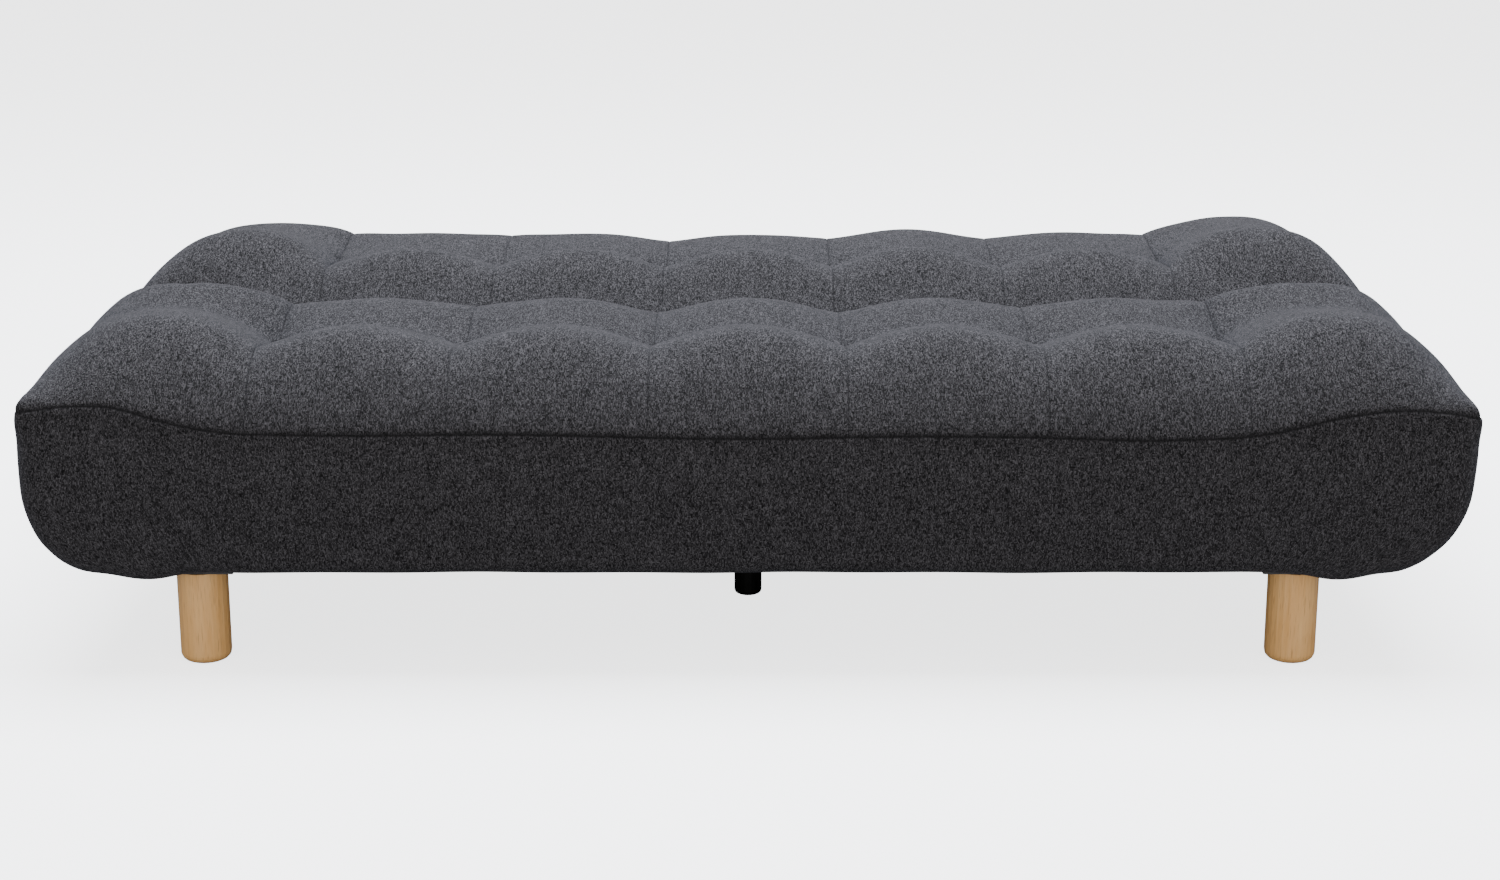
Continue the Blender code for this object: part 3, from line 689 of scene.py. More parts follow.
        grid = np.arange(nx * ny).reshape(nx, ny)
        cells = [grid[:-1, :-1], grid[1:, :-1], grid[1:, 1:], grid[:-1, 1:]]
        faces = [np.stack(cells, axis=-1).reshape(-1, 4)]
        rings = np.concatenate([nx * ny + np.arange(count * around).reshape(count, around), grid[i, j][None]])
        onward = np.roll(rings, -1, axis=1)
        faces.append(np.stack([rings[:-1], onward[:-1], onward[1:], rings[1:]], axis=-1).reshape(-1, 4))
        ceiling = rings[0]
        near, far = ceiling[:nx], ceiling[nx + ny - 2 : 2 * nx + ny - 2][::-1]
        faces.append(np.stack([near[1:-2], far[1:-2], far[2:-1], near[2:-1]], axis=-1))
        right = [near[-2], far[-2], *ceiling[nx - 1 : nx + ny - 1][::-1]]
        left = [far[1], near[1], near[0], *ceiling[2 * nx + ny - 2 :][::-1], far[0]]
        odd = [right, left]
        quads = np.concatenate(faces)
        if self.half is Half.SEAT:
            quads, odd = quads[:, ::-1], [face[::-1] for face in odd]
        piece = make_mesh(f"{self.half.body}_upholstery", points, quads, odd)

        x, y = np.meshgrid(self.x_lines, self.y_lines, indexing="ij")
        inward = self.y_lines[-1] - y
        from_column = np.abs(x[..., None] - np.array(self.columns)).min(axis=-1)
        from_edge = np.minimum(inward, self.half_width - np.abs(x))
        from_edge = np.where(y < 0.02, 1.0, from_edge)
        seam_top = np.minimum(from_column, from_edge)
        fall = np.linalg.norm(np.diff(np.concatenate([below, edge[None]]), axis=0), axis=-1)
        from_top = np.cumsum(fall[::-1], axis=0)[::-1]
        from_top = np.where(j[None] == 0, 1.0, from_top)
        tufted = np.minimum(from_column, 0.4) ** 2 + (inward - self.sizes.tuft_in) ** 2
        hold = (from_column < 0.0014) | (from_edge < 0.001) | (tufted < 0.014**2) | (y < 0.020)
        weight = np.where(from_column < from_edge, self.column_weight, 1.0)
        lines = {
            "seam": np.concatenate([seam_top.ravel(), from_top.ravel()]),
            "weight": np.concatenate([weight.ravel(), np.ones(count * around)]),
            "hold": np.concatenate([hold.ravel(), (np.arange(count) < 15).repeat(around)]).astype(float),
            "free": smooth_step(np.concatenate([from_edge.ravel(), from_top.ravel()]), 0.003, 0.060),
        }
        self.map_cloth(piece, top, below, nx, ny)
        return piece, lines

    def map_cloth(self, piece: bpy.types.Object, top: Array, below: Array, nx: int, ny: int) -> None:
        """Gives the cover its cloth map in metres: along the bed, and along the cloth across it.

        Args:
            piece: The cover.
            top: The top's grid of points.
            below: The loops below the seam.
            nx: Points along the bed.
            ny: Points across it.
        """
        run = np.linalg.norm(np.diff(top, axis=1), axis=-1).mean(axis=0)
        across = np.concatenate([[0.0], np.cumsum(run)])
        u_top, v_top = np.meshgrid(self.x_lines, across, indexing="ij")
        i, j = self.border
        edge = top[i, j]
        steps = np.linalg.norm(np.roll(edge[:, :2], -1, axis=0) - edge[:, :2], axis=-1)
        along = np.concatenate([[0.0], np.cumsum(steps)[:-1]])
        fall = np.linalg.norm(np.diff(np.concatenate([below, edge[None]]), axis=0), axis=-1)
        down = np.cumsum(fall[::-1], axis=0)[::-1]
        places = np.concatenate(
            [
                np.stack([u_top, v_top], axis=-1).reshape(-1, 2),
                np.stack([np.broadcast_to(along, down.shape), 3.0 - down], axis=-1).reshape(-1, 2),
            ]
        )
        mesh = piece.data
        corners = np.empty(len(mesh.loops), dtype=np.int32)
        mesh.loops.foreach_get("vertex_index", corners)
        starts = np.empty(len(mesh.polygons), dtype=np.int32)
        sizes = np.empty(len(mesh.polygons), dtype=np.int32)
        mesh.polygons.foreach_get("loop_start", starts)
        mesh.polygons.foreach_get("loop_total", sizes)
        face = np.repeat(np.arange(len(sizes)), sizes)
        on_top = corners < nx * ny
        whole_top = np.logical_and.reduceat(on_top, starts)[face]
        edge_number = np.full(nx * ny, -1)
        edge_number[i * ny + j] = np.arange(len(i))
        uv = places[corners]
        shared = on_top & ~whole_top
        number = edge_number[corners[shared]]
        uv[shared] = np.stack([along[number], np.full(len(number), 3.0)], axis=-1)
        total = along[-1] + steps[-1]
        low = np.minimum.reduceat(uv[:, 0], starts)[face]
        wraps = ~whole_top & (np.maximum.reduceat(uv[:, 0], starts)[face] - low > total / 2)
        uv[wraps & (uv[:, 0] < total / 4), 0] += total
        layer = mesh.uv_layers.new(name="cloth")
        layer.data.foreach_set("uv", uv.astype(np.float32).ravel())

    def fill(self, piece: bpy.types.Object, hold: Array, free: Array) -> None:
        """Lets the filling push the cover out with a short cloth simulation, and applies it.

        Args:
            piece: The cover.
            hold: One for each point that stays where it is.
            free: The share of its move that each point keeps.
        """
        before = point_places(piece.data)
        group = piece.vertex_groups.new(name="held")
        group.add(np.flatnonzero(hold > 0.5).tolist(), 1.0, "REPLACE")
        cloth = piece.modifiers.new("filling", "CLOTH")
        settings = cloth.settings
        settings.quality = 5
        settings.mass = 0.35
        settings.tension_stiffness = settings.compression_stiffness = 22
        settings.shear_stiffness = 8
        settings.bending_stiffness = 1.2
        settings.use_pressure = True
        settings.uniform_pressure_force = self.pressure
        settings.vertex_group_mass = "held"
        settings.effector_weights.gravity = 0.0
        cloth.collision_settings.use_collision = False
        cloth.collision_settings.use_self_collision = False
        cloth.point_cache.frame_start, cloth.point_cache.frame_end = 1, self.frames
        scene = bpy.context.scene
        for number in range(1, self.frames + 1):
            scene.frame_set(number)
        seen = piece.evaluated_get(bpy.context.evaluated_depsgraph_get())
        after = point_places(seen.data)
        piece.modifiers.remove(cloth)
        piece.vertex_groups.clear()
        scene.frame_set(1)
        move = after - before
        length = np.linalg.norm(move, axis=-1, keepdims=True)
        share = self.reach * np.tanh(length / self.reach) / np.maximum(length, 1e-9)
        capped = free[:, None] * move * share
        log.info("%s: filling moved the cloth by up to %.1f mm", piece.name, 1000 * float(length.max()))
        set_places(piece.data, before + capped)

    def sew(self, piece: bpy.types.Object, seam: Array, weight: Array) -> None:
        """Draws the cloth in along the stitching, with small puckers beside it, and stores the painted shade
        for the seam grooves.

        Args:
            piece: The cover.
            seam: Each point's distance from the nearest stitching.
            weight: How strongly that stitching shows.
        """
        mesh = piece.data
        points, normals = point_places(mesh), point_normals(mesh)
        groove = self.seam_groove[0] * np.exp(-((seam / self.seam_groove[1]) ** 2))
        groove = weight * (groove + self.seam_dip[0] * np.exp(-seam / self.seam_dip[1]))
        run = points[:, 1] + points[:, 0] * 0.7
        ripple = np.sin(run * 310 + 1.3) + 0.7 * np.sin(run * 187 + 0.4)
        pucker = self.pucker_height * ripple * np.exp(-((seam - 0.006) ** 2) / 0.006**2) * (seam < 0.5)
        points -= normals * (groove * (seam < 0.5) - pucker)[:, None]
        y = np.abs(points[:, 1])
        limit = self.hinge_z - 0.0012 + self.fold * y
        above = (points[:, 2] > self.hinge_z) & (y < 0.30)
        points[above, 2] = np.minimum(points[above, 2], limit[above])
        points[:, 2] = smooth_least(points[:, 2], np.full(len(points), self.highest), 0.004)
        ear = np.hypot(np.abs(points[:, 0]) - self.half_width, y - self.half_depth)
        ear = self.corner_ear[0] * np.exp(-((ear / self.corner_ear[1]) ** 2))
        ear *= np.exp(-((seam / 0.0035) ** 2))
        points[:, 0] += np.sign(points[:, 0]) * ear
        points[:, 1] += np.sign(points[:, 1]) * ear
        set_places(mesh, points)
        # Painted shade: the "stitching" attribute marks where the cloth is darkened in the seam grooves,
        # where shade falls, darkest on the line and fading within about a millimetre.
        mark = mesh.attributes.new("stitching", "FLOAT", "POINT")
        dark = weight * np.exp(-((seam / 0.0009) ** 2))
        mark.data.foreach_set("value", dark.astype(np.float32))

    def build(self) -> bpy.types.Object:
        """Returns:
            The finished padded piece, which stands for the half's plain cover and foam.
        """
        piece, lines = self.shape()
        self.fill(piece, lines["hold"], lines["free"])
        self.sew(piece, lines["seam"], lines["weight"])
        smooth = piece.modifiers.new("smooth", "SUBSURF")
        smooth.levels = smooth.render_levels = 1
        smooth.boundary_smooth = "ALL"
        smooth.use_limit_surface = False
        body = self.half.body
        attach(piece, body)
        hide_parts(f"{body}_cover", f"{body}_foam")
        log.info("%s: %d points", piece.name, len(piece.data.vertices))
        return piece


# ---------------------------------------------------------------- shader nodes


class Wiring:
    """Adds and joins shader nodes in one node tree."""

    def __init__(self, tree: bpy.types.NodeTree) -> None:
        """Starts on a node tree."""
        self.tree = tree
        self.across = 0

    def put(self, socket: bpy.types.NodeSocket, value: object) -> None:
        """Joins an output to a socket, or sets the socket's own value."""
        if isinstance(value, bpy.types.NodeSocket):
            self.tree.links.new(value, socket)
        elif value is not None:
            socket.default_value = value

    def add(
        self, kind: str, inputs: dict[str | int, object] | None = None, **settings: object
    ) -> bpy.types.Node:
        """Adds a node.

        Args:
            kind: The node's type, without the leading "ShaderNode".
            inputs: Values or outputs for its sockets, by name or number.
            **settings: The node's own properties.

        Returns:
            The new node.
        """
        node = self.tree.nodes.new("ShaderNode" + kind)
        node.location = (self.across, 0)
        self.across += 180
        for name, value in settings.items():
            setattr(node, name, value)
        for name, value in (inputs or {}).items():
            self.put(node.inputs[name], value)
        return node

    def math(self, operation: str, a: object, b: object = None, c: object = None) -> bpy.types.NodeSocket:
        """A Math node's result."""
        return self.add("Math", {0: a, 1: b, 2: c}, operation=operation).outputs[0]

    def vector(self, operation: str, a: object, b: object = None) -> bpy.types.NodeSocket:
        """A Vector Math node's result."""
        return self.add("VectorMath", {0: a, 1: b}, operation=operation).outputs[0]

    def ramp(
        self, value: object, low: float, high: float, to_low: float = 0.0, to_high: float = 1.0
    ) -> bpy.types.NodeSocket:
        """A clamped Map Range node's result."""
        ranges = {"Value": value, "From Min": low, "From Max": high, "To Min": to_low, "To Max": to_high}
        return self.add("MapRange", ranges).outputs[0]

    def blend(self, share: object, a: object, b: object, how: str = "MIX") -> bpy.types.NodeSocket:
        """A colour Mix node's result.

        Args:
            share: How much of the second colour there is.
            a: The first colour.
            b: The second.
            how: The node's blend type.

        Returns:
            The mixed colour.
        """
        node = self.add("Mix", {0: share}, data_type="RGBA", blend_type=how)
        self.put(node.inputs[6], a)
        self.put(node.inputs[7], b)
        return node.outputs[2]

    def noise(
        self, place: object, scale: float, detail: float = 2.0, rough: float = 0.5
    ) -> bpy.types.NodeSocket:
        """A Noise Texture's value."""
        inputs = {"Vector": place, "Scale": scale, "Detail": detail, "Roughness": rough}
        return self.add("TexNoise", inputs).outputs[0]

    def random(self, x: object, y: object, z: float = 0.0) -> bpy.types.NodeSocket:
        """A random value for each cell of a lattice."""
        cell = self.add("CombineXYZ", {0: x, 1: y, 2: z}).outputs[0]
        return self.add("TexWhiteNoise", {"Vector": cell}).outputs[0]

    def stretched(self, place: object, scale: tuple[float, float, float]) -> bpy.types.NodeSocket:
        """A place scaled along each axis."""
        return self.vector("MULTIPLY", place, scale)


def rgba(colour: Colour) -> tuple[float, float, float, float]:
    """A colour with full opacity."""
    return (*colour, 1.0)


class Effect:
    """A shader node group with named inputs and outputs, built once and placed in many materials."""

    made: dict[str, bpy.types.NodeTree] = {}

    @classmethod
    def group(
        cls,
        name: str,
        inputs: Sequence[tuple[str, str, object]],
        outputs: Sequence[tuple[str, str]],
        wire: Callable[[Wiring, dict[str, bpy.types.NodeSocket]], dict[str, bpy.types.NodeSocket]],
    ) -> bpy.types.NodeTree:
        """Builds a group, or gives the one that is there.

        Args:
            name: The group's name.
            inputs: Name, socket type and first value of each input.
            outputs: Name and socket type of each output.
            wire: Makes the nodes, from the inputs to the outputs by name.

        Returns:
            The group.
        """
        if name in cls.made:
            return cls.made[name]
        tree = bpy.data.node_groups.new(name, "ShaderNodeTree")
        for label, kind, value in inputs:
            socket = tree.interface.new_socket(label, in_out="INPUT", socket_type=kind)
            if value is not None:
                socket.default_value = value
        for label, kind in outputs:
            tree.interface.new_socket(label, in_out="OUTPUT", socket_type=kind)
        start, end = tree.nodes.new("NodeGroupInput"), tree.nodes.new("NodeGroupOutput")
        wiring = Wiring(tree)
        results = wire(wiring, {socket.name: socket for socket in start.outputs if socket.name})
        for label, socket in results.items():
            tree.links.new(socket, end.inputs[label])
        cls.made[name] = tree
        return tree

    @classmethod
    def melange(cls) -> bpy.types.NodeTree:
        """Woven melange cloth: dark and light yarns in short floats, thick and thin places, soft mottling."""

        def wire(w: Wiring, given: dict[str, bpy.types.NodeSocket]) -> dict[str, bpy.types.NodeSocket]:
            """Wires the cloth: cells of the weave get a random yarn tone, and threads a round back.

            Args:
                w: The group's wiring.
                given: The group's inputs, by name.

            Returns:
                The group's outputs, by name.
            """
            place = given["Place"]
            wobble = w.add("TexNoise", {"Vector": place, "Scale": 160.0, "Detail": 1.0}).outputs[1]
            wobble = w.vector("SUBTRACT", wobble, (0.5, 0.5, 0.5))
            wobble = w.vector("MULTIPLY", wobble, (0.0016, 0.0016, 0.0))
            place = w.vector("ADD", place, wobble)
            part = w.add("SeparateXYZ", {0: place})
            across = w.math("DIVIDE", part.outputs[0], given["Thread"])
            along = w.math("DIVIDE", part.outputs[1], w.math("MULTIPLY", given["Thread"], 1.7))
            column, row = w.math("FLOOR", across), w.math("FLOOR", along)
            tone = w.random(column, row)
            shift = w.add("TexWhiteNoise", {"W": column}, noise_dimensions="1D").outputs[0]
            long_row = w.math("ADD", w.math("MULTIPLY", along, 0.42), w.math("MULTIPLY", shift, 7.0))
            yarn = w.random(column, w.math("FLOOR", long_row), 3.0)
            long_column = w.math("ADD", w.math("MULTIPLY", across, 0.5), w.math("MULTIPLY", row, 0.37))
            weft = w.random(w.math("FLOOR", long_column), row, 9.0)
            speckle = w.math("ADD", w.math("MULTIPLY", tone, 0.60), w.math("MULTIPLY", yarn, 0.26))
            speckle = w.math("ADD", speckle, w.math("MULTIPLY", weft, 0.14))
            streaks = w.noise(w.stretched(place, (1.0, 0.16, 1.0)), 210.0, 2.0)
            mottle = w.math("ADD", w.noise(place, 30.0, 3.0, 0.6), streaks)
            mottle = w.ramp(mottle, 0.7, 1.3, -0.5, 0.5)
            value = w.math("ADD", speckle, w.math("MULTIPLY", mottle, given["Mottle"]))
            value = w.math("POWER", w.ramp(value, 0.14, 0.90), 1.6)
            colour = w.blend(value, given["Dark"], given["Light"])
            ridge_a = w.math("SINE", w.math("MULTIPLY", w.math("FRACT", across), math.pi))
            ridge_b = w.math("SINE", w.math("MULTIPLY", w.math("FRACT", along), math.pi))
            height = w.math("MULTIPLY", w.math("ADD", ridge_a, ridge_b), 0.35)
            height = w.math("ADD", height, w.math("MULTIPLY", tone, 0.6))
            return {"Colour": colour, "Height": height, "Tone": value}

        return cls.group(
            "melange cloth",
            [
                ("Place", "NodeSocketVector", None),
                ("Thread", "NodeSocketFloat", 0.0016),
                ("Mottle", "NodeSocketFloat", 0.25),
                ("Dark", "NodeSocketColor", (0.01, 0.01, 0.01, 1)),
                ("Light", "NodeSocketColor", (0.1, 0.1, 0.1, 1)),
            ],
            [("Colour", "NodeSocketColor"), ("Height", "NodeSocketFloat"), ("Tone", "NodeSocketFloat")],
            wire,
        )

    @classmethod
    def grain(cls) -> bpy.types.NodeTree:
        """Straight wood grain along Z: slow bands, fine streaks and short dark pores."""

        def wire(w: Wiring, given: dict[str, bpy.types.NodeSocket]) -> dict[str, bpy.types.NodeSocket]:
            """Wires the wood: noise stretched along the grain, at three widths.

            Args:
                w: The group's wiring.
                given: The group's inputs, by name.

            Returns:
                The group's outputs, by name.
            """
            stretch = w.add("CombineXYZ", {0: 1.0, 1: 1.0, 2: given["Run"]}).outputs[0]
            place = w.vector("MULTIPLY", given["Place"], stretch)
            bend = w.add("TexNoise", {"Vector": place, "Scale": 14.0}).outputs[1]
            bend = w.vector("MULTIPLY", bend, (0.012, 0.012, 0.0))
            place = w.vector("ADD", place, bend)
            band = w.ramp(w.noise(place, 62.0, 3.0, 0.55), 0.36, 0.66)
            streak = w.ramp(w.noise(place, 330.0, 3.0, 0.6), 0.30, 0.72)
            pore = w.ramp(w.noise(w.stretched(place, (1.0, 1.0, 0.55)), 900.0, 1.0), 0.60, 0.72)
            shade = w.math("ADD", w.math("MULTIPLY", band, 0.55), w.math("MULTIPLY", streak, 0.45))
            colour = w.blend(shade, given["Pale"], given["Deep"])
            colour = w.blend(w.math("MULTIPLY", pore, given["Pores"]), colour, given["Pore colour"])
            height = w.math("SUBTRACT", w.math("MULTIPLY", shade, -0.4), w.math("MULTIPLY", pore, 0.8))
            return {"Colour": colour, "Height": height, "Shade": shade}

        return cls.group(
            "straight grain",
            [
                ("Place", "NodeSocketVector", None),
                ("Run", "NodeSocketFloat", 0.10),
                ("Pores", "NodeSocketFloat", 0.6),
                ("Pale", "NodeSocketColor", (0.5, 0.3, 0.15, 1)),
                ("Deep", "NodeSocketColor", (0.35, 0.2, 0.1, 1)),
                ("Pore colour", "NodeSocketColor", (0.15, 0.07, 0.03, 1)),
            ],
            [("Colour", "NodeSocketColor"), ("Height", "NodeSocketFloat"), ("Shade", "NodeSocketFloat")],
            wire,
        )

    @classmethod
    def handling(cls) -> bpy.types.NodeTree:
        """Small variation of a hard surface: cloudy smudges, fine pitting and worn edges."""

        def wire(w: Wiring, given: dict[str, bpy.types.NodeSocket]) -> dict[str, bpy.types.NodeSocket]:
            """Wires the surface: noise at two scales, and a mask from how sharply the surface turns.

            Args:
                w: The group's wiring.
                given: The group's inputs, by name.

            Returns:
                The group's outputs, by name.
            """
            place = given["Place"]
            smudge = w.ramp(w.noise(place, 22.0, 4.0, 0.6), 0.35, 0.7)
            pit = w.noise(place, 1400.0, 2.0, 0.5)
            point = w.add("NewGeometry").outputs["Pointiness"]
            chips = w.ramp(w.noise(place, 240.0, 3.0), 0.35, 0.6)
            worn = w.math("MULTIPLY", w.ramp(point, 0.515, 0.58), chips)
            rough = w.math("MULTIPLY", w.math("SUBTRACT", smudge, 0.5), given["Smudge"])
            rough = w.math("ADD", given["Roughness"], rough)
            worn = w.math("MULTIPLY", worn, given["Wear"])
            colour = w.blend(worn, given["Colour"], given["Worn colour"])
            colour = w.blend(w.math("MULTIPLY", smudge, 0.18), colour, given["Worn colour"])
            return {"Colour": colour, "Roughness": rough, "Height": pit}

        return cls.group(
            "handled surface",
            [
                ("Place", "NodeSocketVector", None),
                ("Roughness", "NodeSocketFloat", 0.5),
                ("Smudge", "NodeSocketFloat", 0.15),
                ("Wear", "NodeSocketFloat", 0.4),
                ("Colour", "NodeSocketColor", (0.1, 0.1, 0.1, 1)),
                ("Worn colour", "NodeSocketColor", (0.3, 0.3, 0.3, 1)),
            ],
            [("Colour", "NodeSocketColor"), ("Roughness", "NodeSocketFloat"), ("Height", "NodeSocketFloat")],
            wire,
        )


# ---------------------------------------------------------------- finishes


@dataclass(frozen=True)
class Finish:
    """What every finish has: a name and a way to make its material."""

    name: str

    def begin(self) -> tuple[bpy.types.Material, Wiring, bpy.types.Node]:
        """Starts the material.

        Returns:
            The new material, its wiring and its Principled BSDF.
        """
        material = bpy.data.materials.new(self.name)
        material.use_nodes = True
        tree = material.node_tree
        return material, Wiring(tree), tree.nodes["Principled BSDF"]

    def place(self, wiring: Wiring) -> bpy.types.NodeSocket:
        """The surface's own place in metres."""
        return wiring.add("TexCoord").outputs["Object"]

    def effect(self, wiring: Wiring, tree: bpy.types.NodeTree, values: dict[str, object]) -> bpy.types.Node:
        """Places a shared effect in the material with its own values.

        Args:
            wiring: The material's wiring.
            tree: The effect's node group.
            values: Values or outputs for the group's inputs, by name.

        Returns:
            The group node.
        """
        node = wiring.add("Group", node_tree=tree)
        for name, value in values.items():
            wiring.put(node.inputs[name], value)
        return node

    def bump(
        self, wiring: Wiring, shader: bpy.types.Node, height: object, distance: float, strength: float
    ) -> None:
        """Feeds a height to the shader's normal.

        Args:
            wiring: The material's wiring.
            shader: Its Principled BSDF.
            height: The height's output.
            distance: How high a height of one stands, in metres.
            strength: Share of the effect.
        """
        node = wiring.add("Bump", {"Height": height, "Distance": distance, "Strength": strength})
        wiring.put(shader.inputs["Normal"], node.outputs[0])


@dataclass(frozen=True)
class Upholstery(Finish):
    """The charcoal cover cloth.

    Attributes:
        dark: Tone of the darkest yarns.
        light: Tone of the lightest.
        thread: Width of a yarn.
        sheen: How much the fibre ends catch the light.
        mottle: Strength of the soft, larger variation.
        shade: Tone of the painted shade deep in the seam grooves.
    """

    dark: Colour = (0.0010, 0.0009, 0.0010)
    light: Colour = (0.0940, 0.0905, 0.0960)
    thread: float = 0.00098
    sheen: float = 0.05
    mottle: float = 0.07
    shade: Colour = (0.0035, 0.0033, 0.0035)

    def make(self) -> bpy.types.Material:
        """Makes the cloth: melange on the piece's own map, with painted shade along the stitching's grooves,
        and a soft sheen.

        Returns:
            The new material.
        """
        material, w, shader = self.begin()
        place = w.add("UVMap", uv_map="cloth").outputs[0]
        values = {"Place": place, "Thread": self.thread, "Mottle": self.mottle}
        values |= {"Dark": rgba(self.dark), "Light": rgba(self.light)}
        cloth = self.effect(w, Effect.melange(), values)
        # Painted shade: the cloth goes toward the shade tone along the seam grooves, where shade falls.
        stitching = w.add("Attribute", attribute_name="stitching").outputs["Fac"]
        stitching = w.math("MULTIPLY", stitching, 0.9)
        colour = w.blend(stitching, cloth.outputs["Colour"], rgba(self.shade))
        w.put(shader.inputs["Base Color"], colour)
        shader.inputs["Roughness"].default_value = 0.92
        shader.inputs["Specular IOR Level"].default_value = 0.18
        shader.inputs["Sheen Weight"].default_value = self.sheen
        shader.inputs["Sheen Roughness"].default_value = 0.45
        shader.inputs["Sheen Tint"].default_value = (0.72, 0.80, 1.0, 1)
        self.bump(w, shader, cloth.outputs["Height"], 0.0006, 0.55)
        return material


@dataclass(frozen=True)
class Wood(Finish):
    """Turned or sawn wood.

    Attributes:
        pale: Tone of the early wood.
        deep: Tone of the late wood.
        pore: Tone of the pores.
        pores: How strongly the pores show.
        run: Scale along the grain; smaller is longer.
        roughness: Roughness of the surface.
        lacquer: Weight of the clear coat.
        along_x: True for grain that runs along X, not Z.
    """

    pale: Colour = (0.92, 0.55, 0.215)
    deep: Colour = (0.80, 0.42, 0.130)
    pore: Colour = (0.42, 0.20, 0.07)
    pores: float = 0.55
    run: float = 0.085
    roughness: float = 0.48
    lacquer: float = 0.15
    along_x: bool = False

    def make(self) -> bpy.types.Material:
        """Makes the wood from the shared grain.

        Returns:
            The new material.
        """
        material, w, shader = self.begin()
        place = self.place(w)
        if self.along_x:
            place = w.add("Mapping", {"Vector": place, "Rotation": (0.0, math.pi / 2, 0.0)}).outputs[0]
        values = {"Place": place, "Run": self.run, "Pores": self.pores}
        values |= {"Pale": rgba(self.pale), "Deep": rgba(self.deep), "Pore colour": rgba(self.pore)}
        wood = self.effect(w, Effect.grain(), values)
        w.put(shader.inputs["Base Color"], wood.outputs["Colour"])
        rough = w.ramp(wood.outputs["Shade"], 0, 1, self.roughness - 0.05, self.roughness + 0.08)
        w.put(shader.inputs["Roughness"], rough)
        shader.inputs["Coat Weight"].default_value = self.lacquer
        shader.inputs["Coat Roughness"].default_value = 0.35
        self.bump(w, shader, wood.outputs["Height"], 0.0003, 0.35)
        return material


@dataclass(frozen=True)
class HardFinish(Finish):
    """Coated or plated steel, or moulded plastic.

    Attributes:
        colour: The surface's tone.
        worn: The tone that shows on worn edges.
        roughness: Roughness of the surface.
        metallic: One for bare or plated metal.
        wear: How much the edges are worn.
        pitting: Strength of the fine texture.
        specular: Strength of the reflection of a surface that isn't metal.
    """

    colour: Colour = (0.02, 0.02, 0.02)
    worn: Colour = (0.10, 0.10, 0.10)
    roughness: float = 0.5
    metallic: float = 0.0
    wear: float = 0.3
    pitting: float = 0.3
    specular: float = 0.5

    def make(self) -> bpy.types.Material:
        """Makes the hard surface from the shared handling effect.

        Returns:
            The new material.
        """
        material, w, shader = self.begin()
        values = {"Colour": rgba(self.colour), "Worn colour": rgba(self.worn)}
        values |= {"Place": self.place(w), "Roughness": self.roughness, "Wear": self.wear}
        surface = self.effect(w, Effect.handling(), values)
        w.put(shader.inputs["Base Color"], surface.outputs["Colour"])
        w.put(shader.inputs["Roughness"], surface.outputs["Roughness"])
        shader.inputs["Metallic"].default_value = self.metallic
        shader.inputs["Specular IOR Level"].default_value = self.specular
        self.bump(w, shader, surface.outputs["Height"], 0.0002, self.pitting)
        return material


@dataclass(frozen=True)
class PlainCloth(Finish):
    """Hidden cloth: the spun dust cover and the woven webbing.

    Attributes:
        dark: Tone between the fibres.
        light: Tone of the fibres.
        rib: Spacing of the webbing's ribs; none on a spun cloth.
    """

    dark: Colour = (0.012, 0.012, 0.013)
    light: Colour = (0.045, 0.045, 0.047)
    rib: float = 0.0

    def make(self) -> bpy.types.Material:
        """Makes the cloth: a web of fibres with pressed dots, or ribs along the strap.

        Returns:
            The new material.
        """
        material, w, shader = self.begin()
        place = self.place(w)
        part = w.add("SeparateXYZ", {0: place})
        if self.rib:
            wave = w.math("SINE", w.math("MULTIPLY", part.outputs[0], 2 * math.pi / self.rib))
            weave = w.math("SINE", w.math("MULTIPLY", part.outputs[1], 2 * math.pi / (0.6 * self.rib)))
            height = w.ramp(w.math("ADD", wave, w.math("MULTIPLY", weave, 0.5)), -1.5, 1.5)
        else:
            cell = w.add("TexVoronoi", {"Vector": w.stretched(place, (1.0, 1.0, 0.2)), "Scale": 420.0})
            height = w.math("MULTIPLY", w.ramp(cell.outputs[0], 0.1, 0.4), w.noise(place, 900.0, 3.0, 0.7))
        uneven = w.ramp(w.noise(place, 45.0), 0.3, 0.7, 0.7, 1.1)
        colour = w.blend(w.math("MULTIPLY", height, uneven), rgba(self.dark), rgba(self.light))
        w.put(shader.inputs["Base Color"], colour)
        shader.inputs["Roughness"].default_value = 0.85
        shader.inputs["Specular IOR Level"].default_value = 0.25
        self.bump(w, shader, height, 0.0003, 0.5)
        return material


SAWN_PINE = Wood(
    "sawn_pine",
    pale=(0.60, 0.42, 0.23),
    deep=(0.48, 0.30, 0.14),
    pore=(0.30, 0.17, 0.08),
    pores=0.2,
    run=0.03,
    roughness=0.75,
    lacquer=0.0,
    along_x=True,
)
BRIGHT_ZINC = HardFinish(
    "bright_zinc",
    colour=(0.62, 0.64, 0.66),
    worn=(0.42, 0.43, 0.44),
    roughness=0.32,
    metallic=1.0,
    wear=0.5,
    pitting=0.15,
)
MOULDED_PLASTIC = HardFinish(
    "moulded_plastic",
    colour=(0.0012, 0.0012, 0.0012),
    worn=(0.004, 0.004, 0.004),
    roughness=0.42,
    wear=0.1,
    pitting=0.25,
    specular=0.12,
)
FINISHES: dict[str, Finish] = {
    "charcoal_fabric": Upholstery("charcoal_melange"),
    "dust_cloth": PlainCloth("spun_dust_cloth"),
    "foam": PlainCloth("foam_edge", dark=(0.30, 0.28, 0.20), light=(0.55, 0.52, 0.40)),
    "beech": Wood("lacquered_beech"),
    "timber": SAWN_PINE,
    "webbing": PlainCloth("elastic_webbing", dark=(0.10, 0.09, 0.07), light=(0.42, 0.39, 0.32), rib=0.0030),
    "black_steel": HardFinish("black_powder_coat", roughness=0.46, wear=0.25, pitting=0.5),
    "zinc_steel": BRIGHT_ZINC,
    "black_plastic": MOULDED_PLASTIC,
}


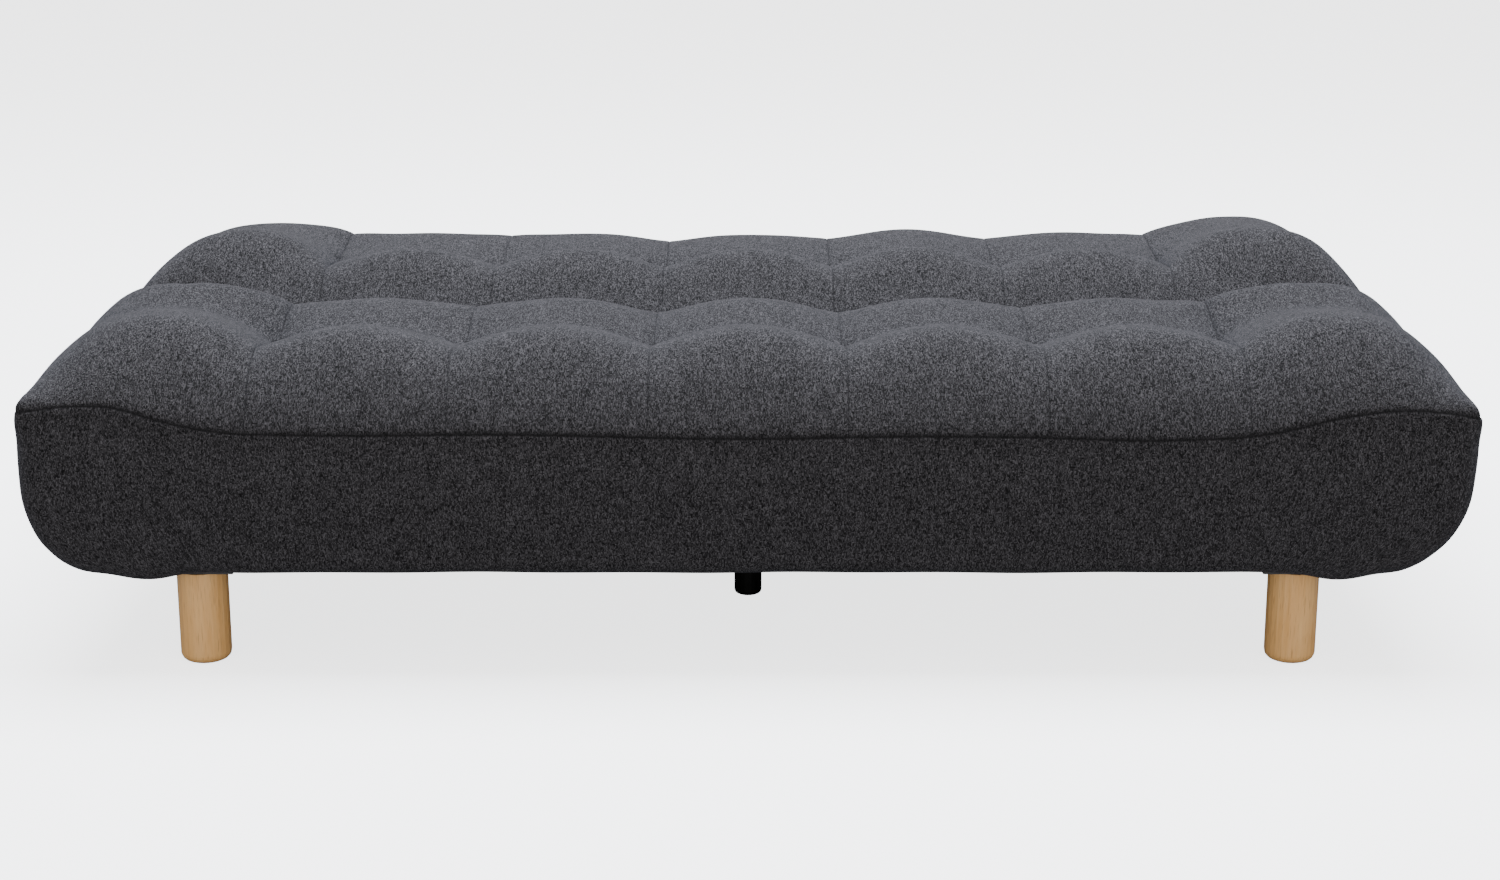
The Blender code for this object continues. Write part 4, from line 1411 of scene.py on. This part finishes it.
@dataclass
class Dresser:
    """Makes the finishes once and puts them on the CAD nodes and the new pieces."""

    finishes: dict[str, Finish] = field(default_factory=FINISHES.copy)

    def dress(self, pieces: Sequence[tuple[bpy.types.Object, str]]) -> None:
        """Puts the finishes on the CAD nodes, slot by slot, and on the new pieces.

        Args:
            pieces: New pieces, each with the name of its finish.
        """
        made = {name: finish.make() for name, finish in self.finishes.items()}
        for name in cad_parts:
            node = bpy.data.objects[name]
            for slot in node.material_slots:
                plain = slot.material.name.split(".")[0] if slot.material else ""
                if plain in made:
                    slot.material = made[plain]
            log.info("%s: %s", name, ", ".join(s.material.name for s in node.material_slots if s.material))
        for piece, finish in pieces:
            piece.data.materials.append(made[finish])


# ---------------------------------------------------------------- the studio


@dataclass
class Studio:
    """The camera, the pale floor and the soft lights.

    Attributes:
        eye: The camera's place.
        pitch: How far it looks down, in degrees.
        lens: Its focal length on a 36 mm sensor, in millimetres.
        floor_size: Side of the floor.
    """

    eye: tuple[float, float, float] = (0.0, -3.626, 1.144)
    pitch: float = 15.1
    lens: float = 62.1
    floor_size: float = 60.0

    def camera(self) -> None:
        """Sets up the camera."""
        data = bpy.data.cameras.new("camera")
        data.lens, data.sensor_width = self.lens, 36.0
        data.shift_x = 2.0 / 1500
        data.clip_end = 200.0
        camera = bpy.data.objects.new("camera", data)
        camera.location = self.eye
        camera.rotation_euler = (math.radians(90 - self.pitch), 0.0, 0.0)
        bpy.context.scene.collection.objects.link(camera)
        bpy.context.scene.camera = camera

    def floor(self) -> None:
        """Lays the floor: near white to the camera, dimmer to bounced light."""
        half = self.floor_size / 2
        signs = np.array([[-1, -1, 0], [1, -1, 0], [1, 1, 0], [-1, 1, 0]], dtype=float)
        corners = signs * half
        floor = make_mesh("floor", corners, np.array([[0, 1, 2, 3]]))
        material = bpy.data.materials.new("floor")
        material.use_nodes = True
        w, shader = Wiring(material.node_tree), material.node_tree.nodes["Principled BSDF"]
        seen = w.add("LightPath").outputs["Is Camera Ray"]
        w.put(shader.inputs["Base Color"], w.blend(seen, (0.16, 0.16, 0.165, 1), (0.93, 0.93, 0.93, 1)))
        w.put(shader.inputs["Emission Color"], w.blend(seen, (0.0, 0.0, 0.0, 1), (0.98, 0.99, 1.0, 1)))
        shader.inputs["Emission Strength"].default_value = 2.6
        shader.inputs["Roughness"].default_value = 1.0
        shader.inputs["Specular IOR Level"].default_value = 0.0
        floor.data.materials.append(material)

    def light(
        self, name: str, place: Array, aim: Array, size: tuple[float, float], power: float, colour: Colour
    ) -> None:
        """Adds a soft rectangular light.

        Args:
            name: The light's name.
            place: Where it hangs.
            aim: The point that it faces.
            size: Its two sides.
            power: Its power in watts.
            colour: Its colour.
        """
        data = bpy.data.lights.new(name, "AREA")
        data.shape = "RECTANGLE"
        data.size, data.size_y = size
        data.energy, data.color = power, colour
        lamp = bpy.data.objects.new(name, data)
        lamp.location = place
        down = np.asarray(aim, dtype=float) - np.asarray(place, dtype=float)
        lamp.rotation_mode = "QUATERNION"
        lamp.rotation_quaternion = Vector(down).to_track_quat("-Z", "Y")
        bpy.context.scene.collection.objects.link(lamp)

    def build(self) -> None:
        """Sets up the whole studio."""
        self.camera()
        self.floor()
        world = bpy.data.worlds.new("studio")
        world.use_nodes = True
        background = world.node_tree.nodes["Background"]
        background.inputs["Color"].default_value = (1.0, 0.97, 0.98, 1)
        background.inputs["Strength"].default_value = 0.80
        bpy.context.scene.world = world
        self.light("key", (0.0, 0.7, 4.2), (0.0, 0.1, 0.3), (5.0, 3.0), 535.0, (0.88, 0.925, 1.0))
        self.light("front", (0.0, -5.0, 0.9), (0.0, 0.0, 0.2), (5.0, 1.2), 70.0, (1.0, 0.98, 0.96))


# ---------------------------------------------------------------- main


def main() -> None:
    """Builds the sofa bed and its studio."""
    logging.basicConfig(level=logging.INFO, format="%(message)s")
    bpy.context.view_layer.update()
    Studio().build()
    halves = [TuftedHalf(half).build() for half in Half]
    Dresser().dress([(piece, "charcoal_fabric") for piece in halves])


if __name__ == "__main__":
    main()
